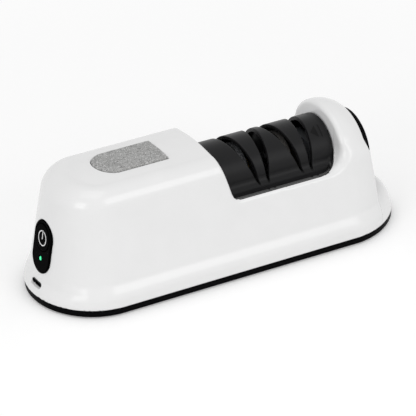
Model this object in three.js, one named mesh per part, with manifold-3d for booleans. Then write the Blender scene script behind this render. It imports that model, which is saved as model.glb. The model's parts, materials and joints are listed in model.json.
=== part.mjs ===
// Electric knife sharpener with a rechargeable cell, a lift-off sharpening cover and a locking end knob.
// Millimetres, +Z up. The long visible side faces -Y, the button end faces -X and the knob end faces +X.
// The origin is the middle of the footprint, on the surface that the rubber feet stand on.
import * as THREE from 'three';
import { mergeVertices } from 'three/addons/utils/BufferGeometryUtils.js';
import Module from 'manifold-3d';

const wasm = await Module();
wasm.setup();

// Clearances that the pieces share
const clearance = { running: 0.3, cover: 0.4, overrun: 6 };

// Overall form of the white shell
const shell = {
  length: 196,
  halfWidth: 33.1,
  wall: 2.2,
  seamHeight: 3.5,
  flareStart: 7,
  flareEnd: 15.5,
  endFlareStart: 3.8,
  endFlareEnd: 11,
  draftInset: 3.8,
  draftHeight: 20,
  draftTaper: 0.175,
  leftInset: 6.4,
  leftHeight: 31,
  leftTaper: 0.151,
  leftCentre: 66.5,
  rightCentre: 61.6,
  bodyInset: 1.6,
  ledgeInset: 3.8,
  ledgeHeight: 14,
  ledgeFlareStart: 1.4,
  ledgeFlareEnd: 9.3,
};

// Left block: its flat crowned top, its rounded shoulder and the slanted wall that faces the cover
const block = {
  height: 61.4,
  crownDrop: 1.68,
  shoulder: 9,
  endShoulder: 13,
  shoulderHeight: 50.9,
  wallTop: 10.2,
  wallBottom: 3.1,
  wallFillet: 5,
};

// Saddle that the cover lies in
const saddle = {
  height: 38.5,
  floor: 36.2,
  rimWidth: 1.1,
  faceX: 58.1,
  cornerRound: 9,
  openingHalf: 16.6,
  openingShift: 0.7,
};

// Right tower that the cover butts against and the knob sits on
const tower = {
  endX: 74.2,
  endTaper: 0.158,
  endDraftTop: 46.3,
  cornerRound: 4,
  rimRound: 2.5,
  flatEnd: 62,
  topHalf: 23.8,
  topRise: 21.4,
  endHalf: 20.5,
  endRise: 19.4,
  endInset: 0.15,
  footHalf: 24,
  footHeight: 26,
  hipHeight: 42,
  hipProud: 0.15,
  chestBulge: 0.45,
  faceOverlap: 1.3,
};

// Axis that the motor, the wheels and the cover's barrel share
const axisHeight = 40.56;

// Black sharpening cover
const cover = {
  radius: 15.75,
  wall: 2,
  brimThickness: 1.9,
  lipWidth: 1.4,
  brimDip: 0.8,
  brimFoot: 18,
  cornerRadius: 14,
  endWall: 2.5,
  tabHalf: 8.6,
  tabBottom: 26.6,
};

// Knife slots: each pair has one slanted and one nearly upright wedge
const slots = {
  stagePitch: 24,
  topWidth: 5,
  bottomWidth: 0.9,
  topHeight: 56.3,
  bottomHeight: 38.1,
  slantedTopX: 7.1,
  slantedBottomX: 11.9,
  slantedSkew: 0.2,
  uprightTopX: 21.5,
  uprightBottomX: 22.3,
  uprightSkew: -0.104,
};

// End knob with its spindle and quarter-turn tongue
const knob = {
  radius: 19,
  thickness: 2.2,
  edge: 0.5,
  height: 35.3,
  gripHalf: 2.2,
  gripLength: 28,
  gripProud: 3,
  spindleRadius: 2.5,
  tongueLength: 10.8,
  tongueWidth: 5,
  tongueThickness: 1.9,
  recessDepth: 6,
  recessGap: 1.2,
  keyRadius: 6.2,
};
const knobBearing = { x: 64, thickness: 3, halfWidth: 7, headroom: 6 };

// Sharpening wheels and what turns with them
const spindle = { radius: 2.5, left: -3, right: 54 };
const wheel = {
  radius: 12,
  hubRadius: 5,
  backRadius: 7,
  rimThickness: 2.6,
  leftRimX: 9.6,
  leftHubX: 11.6,
  rightRimX: 20,
  rightHubX: 20.4,
  middleX: 16.2,
  spacerWidth: 1.2,
};
const dog = {
  radius: 5.5,
  core: 2.8,
  plate: 3,
  jaw: 3.1,
  driveX: -11,
  jawGap: 0.3,
  jawShare: 0.36,
  wayRight: 3,
};
const bush = { radius: 4.2, width: 3.4, leftX: 1.2, rightX: 50.2 };
const cradle = {
  left: 0.4,
  right: 54.4,
  halfWidth: 15.2,
  wall: 1.8,
  floor: 21.4,
  sideTop: 35.6,
  endHalf: 10.6,
  endTop: 46,
  legHalf: 3,
  endWall: 5,
  legOffset: 11,
};

// Motor and its mount
const motor = {
  radius: 13.8,
  length: 38,
  frontX: -16,
  bossRadius: 5,
  bossLength: 1.6,
  shaftRadius: 1.5,
  journal: 13,
};
const mount = { thickness: 2.2, halfWidth: 15, legWidth: 3.6, archTop: 24.4, top: 54, screwOffset: 9 };
const motorScrew = { radius: 1.3, headRadius: 2.4, headHeight: 1.4, depth: 5 };

// Base, feet and screws
const base = { inset: 0.4, floor: 2.6, rim: 3.2, rimWall: 1.6 };
const foot = {
  radius: 6,
  proud: 0.8,
  recess: 1.2,
  leftInset: 24,
  rightInset: 26,
  sideInset: 14.6,
  seat: 0.3,
};
const post = { radius: 3.6, leftInset: 40, leftSideInset: 9.1, leftTop: 38, rightInset: 12.6, rightY: 11 };
const baseScrew = { radius: 1.4, headRadius: 2.7, headHeight: 1.3, headRecess: 1.5, length: 8 };

// Rechargeable cell and its holder
const battery = { radius: 9, length: 65, left: -68, capRadius: 3.2, capHeight: 1 };
const holder = { wall: 1.6, sideTop: 12, endWall: 1.8 };

// Abrasive pad in the top of the block
const stone = { left: 64.4, right: 30, half: 9.3, thickness: 2.1, proud: 0.25, seat: 1.6, margin: 2.4 };

// Control panel and what sits in it, measured in the panel's own tilted frame
const panel = {
  height: 26.6,
  centreZ: 26.8,
  half: 8,
  thickness: 2.5,
  proud: 0.25,
  flange: 1.2,
  flangeThickness: 1,
};
const button = {
  radius: 6.5,
  z: 4.7,
  thickness: 2.2,
  proud: 0.15,
  flange: 0.9,
  flangeThickness: 0.8,
  stem: 1.8,
};
const symbol = { radius: 3.5, z: 4.3, stroke: 0.5, depth: 0.35, bar: 4.6, gap: 0.25, seat: 0.1 };
const lens = { half: 0.85, height: 2.1, z: -6.1 };
const led = { half: 1, height: 1.6, thickness: 0.8, gap: 0.3 };
const plunger = { radius: 1.4, length: 2, gap: 0.3, reach: 1 };
const tactSwitch = { half: 3, depth: 3.2 };
const buttonBoard = { x: 9.6, thickness: 1.4, half: 8.6, height: 28 };
const peg = { radius: 0.9, topY: 4.2, topZ: 12.6, lowY: 5, lowZ: -11 };

// Charging inlet and main board
const usb = {
  half: 4.47,
  halfHeight: 1.58,
  wall: 0.32,
  back: 1.28,
  lip: 0.96,
  length: 7.3,
  z: 8,
  mouthInset: 2.6,
  tongueHalf: 3.3,
  tongueThick: 0.7,
};
const board = {
  thickness: 1.5,
  leftInset: 6.4,
  length: 21,
  half: 13,
  boss: 2.6,
  bossInset: 5.2,
  bossSideInset: 3.9,
  gap: 0.3,
};

// Leads clipped between the motor, the cell and the main board
const lead = { radius: 0.8, spacing: 5, sides: 8, steps: 14 };
const motorLeadRoute = [[-54.4, 44], [-61, 43], [-70, 33], [-74, 20], [-75, 7.9]];
const cellLeadRoute = [[-68.4, 19.6], [-71, 19], [-73.2, 14], [-74, 7.9]];
const cellLeadSpread = 12;

// How square the plan's ends are: 2 is an ellipse and more is squarer
const endPowers = { skirt: 2.04, wall: 2.12, ledge: 1.8 };

// Shares that place the rings of a form between its ends, or soften it
const crownShares = [0.72, 0.4, 0.1];
const roundShares = [0, 0.1, 0.35, 1];
const towerRunShares = [0, 0.35, 0.65, 1];
const clippedEndShares = [2 / 3, 1 / 3, 0];
const brimFilletShares = { out: 0.25, up: 0.3 };
const towerFallShare = 0.82;
const crownStart = 0.45;
const crownEnd = 0.62;
const cornerLimitShare = 0.9;
const cornerTrimShare = 0.5;
const brimCornerShare = 1.6;

const counts = {
  endSteps: 20,
  cornerSteps: 4,
  circle: 32,
  smallCircle: 20,
  flareSteps: 4,
  shoulderSteps: 4,
};

const finishes = {
  whiteShell: { color: '#eceded', roughness: 0.28, metalness: 0 },
  blackSatin: { color: '#1c1c1d', roughness: 0.42, metalness: 0 },
  blackGloss: { color: '#0d0d0e', roughness: 0.12, metalness: 0 },
  blackBase: { color: '#151516', roughness: 0.55, metalness: 0 },
  rubber: { color: '#222222', roughness: 0.85, metalness: 0 },
  abrasive: { color: '#8e8e8c', roughness: 0.95, metalness: 0 },
  symbolWhite: { color: '#f2f2f2', roughness: 0.4, metalness: 0 },
  lensGreen: { color: '#27d48a', roughness: 0.25, metalness: 0 },
  steel: { color: '#b9bcc0', roughness: 0.3, metalness: 1 },
  brass: { color: '#b3924f', roughness: 0.35, metalness: 1 },
  board: { color: '#1e5b3a', roughness: 0.5, metalness: 0 },
  cellWrap: { color: '#2c62a8', roughness: 0.4, metalness: 0 },
  diamond: { color: '#5f6265', roughness: 0.8, metalness: 0.4 },
  ceramic: { color: '#d9d4c8', roughness: 0.7, metalness: 0 },
  grey: { color: '#5b5d60', roughness: 0.5, metalness: 0 },
  redLead: { color: '#b3261e', roughness: 0.5, metalness: 0 },
};

// The whole stands on its feet, so heights below count from the underside of the base
const sharpener = new THREE.Group();
sharpener.position.z = foot.proud;

function addPart(name, shape, finish, parent = sharpener) {
  const geometry = shape.isBufferGeometry ? shape : toGeometry(shape);
  const mesh = new THREE.Mesh(geometry, new THREE.MeshStandardMaterial(finish));
  mesh.name = name;
  parent.add(mesh);
  return mesh;
}

// Solids from geometry, and geometry from solids
function toSolid(geometry) {
  const bare = new THREE.BufferGeometry();
  bare.setAttribute('position', geometry.getAttribute('position').clone());
  if (geometry.index) bare.setIndex(geometry.index.clone());
  const merged = mergeVertices(bare);
  return new wasm.Manifold(new wasm.Mesh({
    numProp: 3,
    vertProperties: new Float32Array(merged.getAttribute('position').array),
    triVerts: new Uint32Array(merged.index.array),
  }));
}

function toGeometry(solid) {
  const mesh = solid.getMesh();
  const geometry = new THREE.BufferGeometry();
  geometry.setAttribute('position', new THREE.BufferAttribute(mesh.vertProperties, 3));
  geometry.setIndex(new THREE.BufferAttribute(mesh.triVerts, 1));
  geometry.computeVertexNormals();
  return geometry;
}

// Prisms: an outline in two of the axes, drawn out along the third
function prism(outline, depth) {
  const shape = new THREE.Shape(outline.map(([u, v]) => new THREE.Vector2(u, v)));
  return new THREE.ExtrudeGeometry(shape, { depth, bevelEnabled: false, steps: 1 });
}

function alongX(outlineYZ, from, to) {
  const turn = new THREE.Matrix4().makeBasis(
    new THREE.Vector3(0, 1, 0),
    new THREE.Vector3(0, 0, 1),
    new THREE.Vector3(1, 0, 0),
  );
  return prism(outlineYZ, to - from).applyMatrix4(turn).translate(from, 0, 0);
}

function alongY(outlineXZ, from, to) {
  return prism(outlineXZ, to - from).rotateX(Math.PI / 2).translate(0, to, 0);
}

function alongZ(outlineXY, from, to) {
  return prism(outlineXY, to - from).translate(0, 0, from);
}

function rectangle(u0, v0, u1, v1) {
  return [[u0, v0], [u1, v0], [u1, v1], [u0, v1]];
}

function circle(radius, u = 0, v = 0, steps = counts.smallCircle) {
  return Array.from({ length: steps }, (_, i) => {
    const angle = (2 * Math.PI * i) / steps;
    return [u + radius * Math.cos(angle), v + radius * Math.sin(angle)];
  });
}

function arc(radius, u, v, fromAngle, toAngle, steps) {
  return Array.from({ length: steps + 1 }, (_, i) => {
    const angle = fromAngle + ((toAngle - fromAngle) * i) / steps;
    return [u + radius * Math.cos(angle), v + radius * Math.sin(angle)];
  });
}

function box(x0, y0, z0, x1, y1, z1) {
  return toSolid(alongZ(rectangle(x0, y0, x1, y1), z0, z1));
}

function rodX(radius, x0, x1, y, z, steps = counts.smallCircle) {
  return toSolid(alongX(circle(radius, y, z, steps), x0, x1));
}

function rodZ(radius, z0, z1, x, y, steps = counts.smallCircle) {
  return toSolid(alongZ(circle(radius, x, y, steps), z0, z1));
}

// A closed skin over rings of equal length, each counterclockwise about the way they are stacked.
// The two flat axes are those that the end caps are cut in.
function loft(rings, flatU, flatV) {
  const size = rings[0].length;
  const index = [];
  for (let k = 0; k < rings.length - 1; k += 1) {
    for (let j = 0; j < size; j += 1) {
      const a = k * size + j;
      const b = k * size + ((j + 1) % size);
      index.push(a, b, b + size, a, b + size, a + size);
    }
  }
  const lastRing = (rings.length - 1) * size;
  for (const [first, flip] of [[0, true], [lastRing, false]]) {
    const contour = rings[first / size].map((p) => new THREE.Vector2(p[flatU], p[flatV]));
    for (const [a, b, c] of THREE.ShapeUtils.triangulateShape(contour, [])) {
      index.push(first + a, first + (flip ? c : b), first + (flip ? b : c));
    }
  }
  const geometry = new THREE.BufferGeometry();
  geometry.setAttribute('position', new THREE.Float32BufferAttribute(rings.flat(2), 3));
  geometry.setIndex(index);
  return toSolid(geometry);
}

const mix = (a, b, share) => a + (b - a) * share;
const smooth = (edge0, edge1, value) => {
  const share = THREE.MathUtils.clamp((value - edge0) / (edge1 - edge0), 0, 1);
  return share * share * (3 - 2 * share);
};

// Outer walls of the shell at a height: a drafted wall that flares into an upright skirt
const halfLength = shell.length / 2;
const sideFlare = (z) => 1 - smooth(shell.flareStart, shell.flareEnd, z);
const endFlare = (z) => 1 - smooth(shell.endFlareStart, shell.endFlareEnd, z);
const ledgeFlare = (z) => 1 - smooth(shell.ledgeFlareStart, shell.ledgeFlareEnd, z);
const drafted = (most, taper, from) => (z) => most - taper * (z - from);
const draftedHalf = drafted(shell.halfWidth - shell.draftInset, shell.draftTaper, shell.draftHeight);
const draftedLeft = drafted(halfLength - shell.leftInset, shell.leftTaper, shell.leftHeight);
const draftedLedge = drafted(halfLength - shell.ledgeInset, shell.leftTaper, shell.flareEnd);
const wallHalf = (z) => mix(draftedHalf(z), shell.halfWidth, sideFlare(z));
const leftReach = (z) => mix(draftedLeft(z), halfLength, endFlare(z));
const ledgeReach = (z) => mix(draftedLedge(z), halfLength, ledgeFlare(z));
const towerEnd = (z) => tower.endX + tower.endTaper * Math.max(tower.endDraftTop - z, 0);
const leftPower = (z) => mix(endPowers.wall, endPowers.skirt, endFlare(z));

// A rounded end as a superellipse, from its front tangent to its rear one (side 1) or back again (side -1)
function endCurve(side, centre, reach, half, power, steps = counts.endSteps) {
  const exponent = 2 / power;
  return Array.from({ length: steps + 1 }, (_, i) => {
    const angle = side * Math.PI * (i / steps - 0.5);
    const across = Math.sign(Math.sin(angle)) * Math.abs(Math.sin(angle)) ** exponent;
    return [side * (centre + (reach - centre) * Math.abs(Math.cos(angle)) ** exponent), half * across];
  });
}

// The same superellipse as the foot's plan, cut off by the flat face that the knob turns on
const draftedBody = halfLength - shell.bodyInset;
const bodyReach = (z) => mix(draftedBody, halfLength, sideFlare(z));
const planShare = (x, reach) => {
  const run = Math.max(x - shell.rightCentre, 0) / (reach - shell.rightCentre);
  return (1 - run ** endPowers.ledge) ** (1 / endPowers.ledge);
};

function clippedEnd(reach, half, endX, steps = counts.cornerSteps) {
  const round = Math.min(tower.cornerRound, half * cornerLimitShare);
  const turnX = endX - round;
  const turnY = half * planShare(turnX, reach) - round;
  const rear = [
    ...arc(round, turnX, turnY, 0, Math.PI / 2, steps),
    ...clippedEndShares.map((share) => {
      const x = mix(shell.rightCentre, turnX, share);
      return [x, half * planShare(x, reach)];
    }),
  ];
  return [...rear.map(([x, y]) => [x, -y]).reverse(), ...rear];
}

// Places that follow the left end: the charging inlet's mouth and the main board behind it
const usbMouth = usb.mouthInset - halfLength;
const boardLeft = board.leftInset - halfLength;
const boardRight = boardLeft + board.length;

const atHeight = (outline, z) => outline.map(([x, y]) => [x, y, z]);

// Heights of the rings up the walls, with the flare in small steps
const flareHeights = Array.from({ length: counts.flareSteps + 1 }, (_, i) => (
  mix(shell.flareStart, shell.flareEnd, i / counts.flareSteps)
));

function wallRings(inset, lowest, outlineAt) {
  return [lowest, shell.endFlareStart, ...flareHeights].map((z) => atHeight(outlineAt(z, inset), z));
}

// Main body: drafted walls, rounded shoulder and crowned top, square at its right end
function mainBody(inset, lowest) {
  const outlineAt = (z) => [
    ...clippedEnd(bodyReach(z) - inset, wallHalf(z) - inset, towerEnd(z) - inset),
    ...endCurve(-1, shell.leftCentre, leftReach(z) - inset, wallHalf(z) - inset, leftPower(z)),
  ];
  const rings = wallRings(inset, lowest, outlineAt);
  const low = block.shoulderHeight - inset;
  for (const z of [tower.endDraftTop, low]) rings.push(atHeight(outlineAt(z), z));
  const lowHalf = wallHalf(low) - inset;
  const lowReach = leftReach(low) - inset;
  const top = block.height - inset;
  const tilt = Math.atan(shell.draftTaper);
  const startRise = Math.sin(tilt);
  const crownFoot = top - block.crownDrop;
  const crownHalf = lowHalf - block.shoulder * Math.cos(tilt);
  const crownReach = lowReach - block.endShoulder * Math.cos(tilt);
  for (let step = 1; step <= counts.shoulderSteps; step += 1) {
    const angle = mix(tilt, Math.PI / 2, step / counts.shoulderSteps);
    const rise = (Math.sin(angle) - startRise) / (1 - startRise);
    const z = mix(low, crownFoot, rise);
    const half = crownHalf + block.shoulder * Math.cos(angle);
    const reach = crownReach + block.endShoulder * Math.cos(angle);
    rings.push(atHeight([
      ...clippedEnd(bodyReach(z) - inset, half, tower.endX - inset),
      ...endCurve(-1, shell.leftCentre, reach, half, endPowers.wall),
    ], z));
  }
  for (const share of crownShares) {
    const z = mix(top, crownFoot, share * share);
    const half = crownHalf * share;
    const reach = shell.leftCentre + (crownReach - shell.leftCentre) * share;
    rings.push(atHeight([
      ...clippedEnd(bodyReach(z) - inset, half, tower.endX - inset),
      ...endCurve(-1, shell.leftCentre, reach, half, endPowers.wall),
    ], z));
  }
  return loft(rings, 0, 1);
}

// Lower body that steps out under the knob, with a rounded ledge
function ledgeBody(inset, lowest) {
  const outlineAt = (z, cut) => [
    ...endCurve(1, shell.rightCentre - cut, ledgeReach(z) - inset - cut, wallHalf(z) - inset - cut,
      endPowers.ledge),
    [0, wallHalf(z) - inset - cut],
    [0, cut + inset - wallHalf(z)],
  ];
  const [, roundFoot] = flareHeights;
  const wallHeights = [lowest, shell.endFlareStart, ...flareHeights].filter((z) => z <= roundFoot);
  const rings = wallHeights.map((z) => atHeight(outlineAt(z, 0), z));
  const round = shell.ledgeHeight - inset - roundFoot;
  for (let step = 1; step <= counts.shoulderSteps; step += 1) {
    const angle = (Math.PI / 2) * (step / counts.shoulderSteps);
    const z = roundFoot + round * Math.sin(angle);
    rings.push(atHeight(outlineAt(z, round * (1 - Math.cos(angle))), z));
  }
  return loft(rings, 0, 1);
}

// Tower: sections along X, an elliptical top that shrinks to the knob's rim and spreads into the
// walls below
function towerBody(inset) {
  const sectionAt = (x, trim, push = 0) => {
    const run = THREE.MathUtils.clamp((x - tower.flatEnd) / (tower.endX - tower.flatEnd), 0, 1);
    const fall = 1 - Math.sqrt(1 - run * run * towerFallShare);
    const share = fall / (1 - Math.sqrt(1 - towerFallShare));
    const centre = mix(axisHeight, knob.height, share);
    const half = mix(tower.topHalf, tower.endHalf, share) - inset - trim;
    const rise = mix(tower.topRise, tower.endRise, share) - inset - trim;
    const spread = mix(crownStart, crownEnd, share);
    const crown = arc(1, 0, 0, spread, Math.PI - spread, counts.endSteps)
      .map(([c, s]) => [x, half * c, centre + rise * s]);
    const shrink = inset + trim;
    const footHalf = tower.footHalf - shrink;
    const hip = wallHalf(tower.hipHeight) * planShare(x, draftedBody) + tower.hipProud - shrink;
    const hipZ = tower.hipHeight;
    const first = crown[0];
    const bulge = tower.chestBulge * (1 + share);
    const chest = [x, (hip + first[1]) / 2 + bulge, (hipZ + first[2]) / 2 + bulge * share];
    return [
      [x + push, -footHalf, tower.footHeight - inset],
      [x + push, footHalf, tower.footHeight - inset],
      [x + push, hip, hipZ],
      chest,
      ...crown,
      [x, -chest[1], chest[2]],
      [x + push, -hip, hipZ],
    ];
  };
  const face = saddle.faceX + inset;
  const end = tower.endX - tower.endInset - inset;
  const rings = [];
  for (const share of roundShares) {
    const x = face + tower.rimRound * share;
    const trim = tower.rimRound * (1 - Math.sqrt(1 - (1 - share) ** 2));
    rings.push(sectionAt(x, trim));
  }
  for (const share of towerRunShares) rings.push(sectionAt(mix(tower.flatEnd,
    end - tower.cornerRound, share), 0));
  for (const share of [...roundShares].reverse().slice(1)) {
    const trim = tower.cornerRound * (1 - Math.sqrt(1 - (1 - share) ** 2));
    const push = (towerEnd(tower.hipHeight) - tower.endX) * (1 - share);
    rings.push(sectionAt(end - tower.cornerRound * share, trim * cornerTrimShare, push));
  }
  return loft(rings, 1, 2);
}

// Space over the saddle: right of the slanted wall, above the rim, with a fillet at its foot and a
// round at the tower
function saddleSpace(shift, lift, round = 0) {
  const rimZ = saddle.height + lift;
  const slope = (block.wallTop - block.wallBottom) / (block.height - saddle.height);
  const wallX = (z) => -block.wallBottom - slope * (z - saddle.height) + shift;
  const lean = Math.atan(slope);
  const turn = Math.PI / 2 - lean;
  const run = block.wallFillet * Math.tan(turn / 2);
  const centreX = wallX(rimZ) + run;
  const centreZ = rimZ + block.wallFillet;
  const ceiling = tower.topRise + axisHeight + clearance.overrun;
  const faceX = saddle.faceX - shift;
  const corner = round > 0
    ? arc(round, faceX - round, rimZ + round, -Math.PI / 2, 0, counts.cornerSteps)
    : [[faceX, rimZ]];
  return [
    ...arc(block.wallFillet, centreX, centreZ, Math.PI + lean, 1.5 * Math.PI, counts.cornerSteps),
    ...corner,
    [faceX, ceiling],
    [wallX(ceiling), ceiling],
  ];
}

// Everything right of the tower's face and above the ledge is cleared before the tower goes on
function bodyHull(inset, lowest, sink = 0) {
  const wide = shell.halfWidth + clearance.overrun;
  const clearOutline = saddleSpace(-inset, -inset - sink, saddle.cornerRound);
  const ceiling = tower.topRise + axisHeight + clearance.overrun;
  const pastFace = rectangle(
    saddle.faceX + inset - tower.faceOverlap,
    tower.hipHeight - tower.hipProud - inset,
    halfLength,
    ceiling,
  );
  const main = mainBody(inset, lowest)
    .subtract(toSolid(alongY(clearOutline, -wide, wide)))
    .subtract(toSolid(alongY(pastFace, -wide, wide)));
  return main.add(ledgeBody(inset, lowest)).add(towerBody(inset));
}

// Plan outline of the cover's brim and of the pocket that takes it, open to the left
function brimPlan(grow) {
  const half = wallHalf(saddle.height) - saddle.rimWidth - clearance.running + grow;
  const radius = cover.cornerRadius + grow;
  const centreX = saddle.faceX - clearance.running - cover.cornerRadius;
  const corner = Math.acos(1 - (half - cover.radius / 2) / (radius * brimCornerShare));
  const cornerY = half - radius;
  const limitX = saddle.faceX - clearance.running + grow;
  const left = -block.wallTop - clearance.overrun;
  const curve = arc(radius, centreX, cornerY, Math.PI / 2, Math.PI / 2 - corner, counts.endSteps / 2)
    .filter(([x]) => x < limitX);
  const lastY = curve[curve.length - 1][1];
  const rear = [[left, half], ...curve, [limitX, Math.min(lastY, cover.radius)]];
  const front = rear.map(([x, y]) => [x, -y]).reverse();
  return [...rear, ...front].reverse();
}

// Frame of the control panel: +X points into the wall, +Z up along it
const panelTilt = Math.atan(shell.leftTaper);
const panelFrame = new THREE.Group();
panelFrame.position.set(-leftReach(panel.centreZ) - panel.proud, 0, panel.centreZ);
panelFrame.rotation.y = panelTilt;
panelFrame.updateMatrix();
const inPanelFrame = (geometry) => toSolid(geometry.applyMatrix4(panelFrame.matrix));

function capsule(half, height, steps = counts.smallCircle / 2) {
  const flat = height / 2 - half;
  return [...arc(half, 0, flat, 0, Math.PI, steps), ...arc(half, 0, -flat, Math.PI, 2 * Math.PI, steps)];
}

function stonePlan(grow) {
  const half = stone.half + grow;
  return [
    [-stone.right + grow, -half],
    [-stone.right + grow, half],
    ...arc(half, stone.half - stone.left, 0, Math.PI / 2, 1.5 * Math.PI, counts.smallCircle / 2),
  ];
}

function usbOutline(grow) {
  const half = usb.half + grow;
  const rise = usb.halfHeight + grow;
  const round = (angle, side) => arc(rise, side * (half - rise), usb.z, angle, angle + Math.PI,
    counts.cornerSteps * 2);
  return [...round(-Math.PI / 2, 1), ...round(Math.PI / 2, -1)];
}

const leftPost = {
  x: post.leftInset - halfLength,
  y: shell.halfWidth - post.leftSideInset,
  top: post.leftTop,
};
const rightPost = { x: halfLength - post.rightInset, y: post.rightY, top: shell.ledgeHeight - shell.wall };
const postPlaces = [
  [leftPost.x, -leftPost.y, leftPost.top, 'base_screw_front_left'],
  [leftPost.x, leftPost.y, leftPost.top, 'base_screw_rear_left'],
  [rightPost.x, -rightPost.y, rightPost.top, 'base_screw_front_right'],
  [rightPost.x, rightPost.y, rightPost.top, 'base_screw_rear_right'],
];

// White shell
function upperHousing() {
  const outside = bodyHull(0, shell.seamHeight);
  const hollow = bodyHull(shell.wall, shell.seamHeight - clearance.overrun, saddle.height - saddle.floor);
  let body = outside.subtract(hollow);
  for (const [x, y, top] of postPlaces) {
    const pillar = rodZ(post.radius, base.floor + clearance.running, top, x, y);
    const bore = rodZ(baseScrew.radius + clearance.running, 0, baseScrew.length + shell.wall, x, y);
    const skirtPart = box(x - post.radius, y - post.radius, 0, x + post.radius, y + post.radius,
      shell.seamHeight);
    body = body.add(pillar.intersect(outside.add(skirtPart))).subtract(bore);
  }
  const seatPlan = stonePlan(stone.margin);
  const seatTop = block.height - shell.wall / 2;
  const seatBottom = block.height - stone.thickness - stone.seat;
  body = body.add(toSolid(alongZ(seatPlan, seatBottom, seatTop)).intersect(outside));
  const stoneFloor = block.height + stone.proud - stone.thickness - clearance.running;
  body = body.subtract(toSolid(alongZ(stonePlan(clearance.running), stoneFloor,
    block.height + clearance.overrun)));
  const recessRadius = knob.radius + knob.recessGap;
  const recessEnd = tower.endX + knob.recessDepth;
  const cupLeft = tower.endX - shell.wall + clearance.running;
  const cup = rodX(recessRadius + shell.wall, cupLeft, recessEnd + shell.wall, 0, knob.height,
    counts.circle);
  const recess = rodX(recessRadius, tower.endX, recessEnd, 0, knob.height, counts.circle);
  body = body.add(cup.intersect(outside)).subtract(recess);
  const wide = shell.halfWidth;
  const spaceRight = toSolid(alongY(saddleSpace(0, saddle.floor - saddle.height), -wide, wide));
  const pocket = toSolid(alongZ(brimPlan(clearance.running), saddle.floor,
    block.height + clearance.overrun));
  body = body.subtract(pocket.intersect(spaceRight));
  const wayHalf = cover.radius + clearance.running;
  const openingOutline = saddleSpace(saddle.openingShift, -saddle.cornerRound);
  body = body.subtract(rodX(wayHalf, 0, saddle.faceX, 0, axisHeight, counts.circle));
  body = body.subtract(box(0, -wayHalf, saddle.height - saddle.cornerRound, saddle.faceX, wayHalf,
    axisHeight));
  const opening = alongY(openingOutline, -saddle.openingHalf, saddle.openingHalf);
  body = body.subtract(toSolid(opening));
  body = body.subtract(rodX(dog.radius + clearance.overrun / 2, -block.wallTop - shell.wall * 3,
    cradle.left, 0, axisHeight));
  const bore = knob.spindleRadius + clearance.running;
  body = body.subtract(rodX(bore, saddle.faceX - clearance.overrun, tower.endX + clearance.running,
    0, knob.height));
  const panelHole = alongX(
    capsule(panel.half + clearance.running, panel.height + 2 * clearance.running),
      -clearance.overrun, clearance.overrun);
  body = body.subtract(inPanelFrame(panelHole));
  const flangeGrow = panel.flange + clearance.running;
  const flangePocket = alongX(
    capsule(panel.half + flangeGrow, panel.height + 2 * flangeGrow), panel.thickness,
      panel.thickness + clearance.overrun);
  body = body.subtract(inPanelFrame(flangePocket));
  const slot = alongX(usbOutline(clearance.running), -halfLength - clearance.overrun,
    usbMouth + clearance.overrun);
  return body.subtract(toSolid(slot));
}

// Black base with its rim, foot recesses and screw holes
const footY = shell.halfWidth - foot.sideInset;
const footPlaces = [
  ['foot_front_left', foot.leftInset - halfLength, -footY],
  ['foot_rear_left', foot.leftInset - halfLength, footY],
  ['foot_front_right', halfLength - foot.rightInset, -footY],
  ['foot_rear_right', halfLength - foot.rightInset, footY],
];

function basePlan(inset) {
  const reach = halfLength - inset;
  const half = shell.halfWidth - inset;
  return [
    ...endCurve(1, shell.rightCentre, reach, half, endPowers.ledge),
    ...endCurve(-1, shell.leftCentre, reach, half, endPowers.skirt),
  ];
}

function basePlate() {
  const tray = toSolid(alongZ(basePlan(base.inset), 0, base.rim));
  const inside = toSolid(alongZ(basePlan(base.inset + base.rimWall), base.floor,
    base.rim + clearance.overrun));
  let body = tray.subtract(inside);
  for (const [, x, y] of footPlaces) {
    body = body.subtract(rodZ(foot.radius + clearance.running, -clearance.overrun, foot.recess, x, y));
  }
  for (const [x, y] of postPlaces) {
    body = body.subtract(rodZ(baseScrew.radius + clearance.running, -clearance.overrun,
      clearance.overrun, x, y));
    body = body.subtract(rodZ(baseScrew.headRadius + clearance.running, -clearance.overrun,
      baseScrew.headRecess, x, y));
  }
  const bossPlaces = [boardLeft + board.bossInset, boardRight - board.bossInset];
  for (const x of bossPlaces) {
    for (const side of [-1, 1]) {
      const y = side * (board.half - board.bossSideInset);
      body = body.add(rodZ(board.boss, base.floor / 2, boardBottom - board.gap, x, y));
    }
  }
  return body;
}

function baseScrewSolid(x, y) {
  const headBottom = baseScrew.headRecess - baseScrew.headHeight - clearance.running / 2;
  const headTop = headBottom + baseScrew.headHeight;
  const head = rodZ(baseScrew.headRadius, headBottom, headTop, x, y);
  return head.add(rodZ(baseScrew.radius, headBottom, headTop + baseScrew.length, x, y));
}

// Sharpening cover: barrel, brim and end tab, hollow inside, with four knife slots
const coverRight = saddle.faceX - clearance.running;
const brimTop = saddle.height - clearance.running / 2;
const brimBottom = brimTop - cover.brimThickness;

function slotCutter(topX, bottomX, skew) {
  const topHalf = slots.topWidth / 2;
  const bottomHalf = slots.bottomWidth / 2;
  const slope = (bottomX - topX) / (slots.topHeight - slots.bottomHeight);
  const widen = (topHalf - bottomHalf) / (slots.topHeight - slots.bottomHeight);
  const over = clearance.overrun;
  const middle = (bottomX + topX) / 2;
  const outline = [
    [bottomX - bottomHalf - middle, slots.bottomHeight],
    [bottomX + bottomHalf - middle, slots.bottomHeight],
    [topX + topHalf - middle + over * (widen - slope), slots.topHeight + over],
    [topX - topHalf - middle - over * (widen + slope), slots.topHeight + over],
  ];
  const reach = cover.radius + clearance.overrun;
  return toSolid(alongY(outline, -reach, reach).rotateZ(Math.atan(skew)).translate(middle, 0, 0));
}

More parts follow.
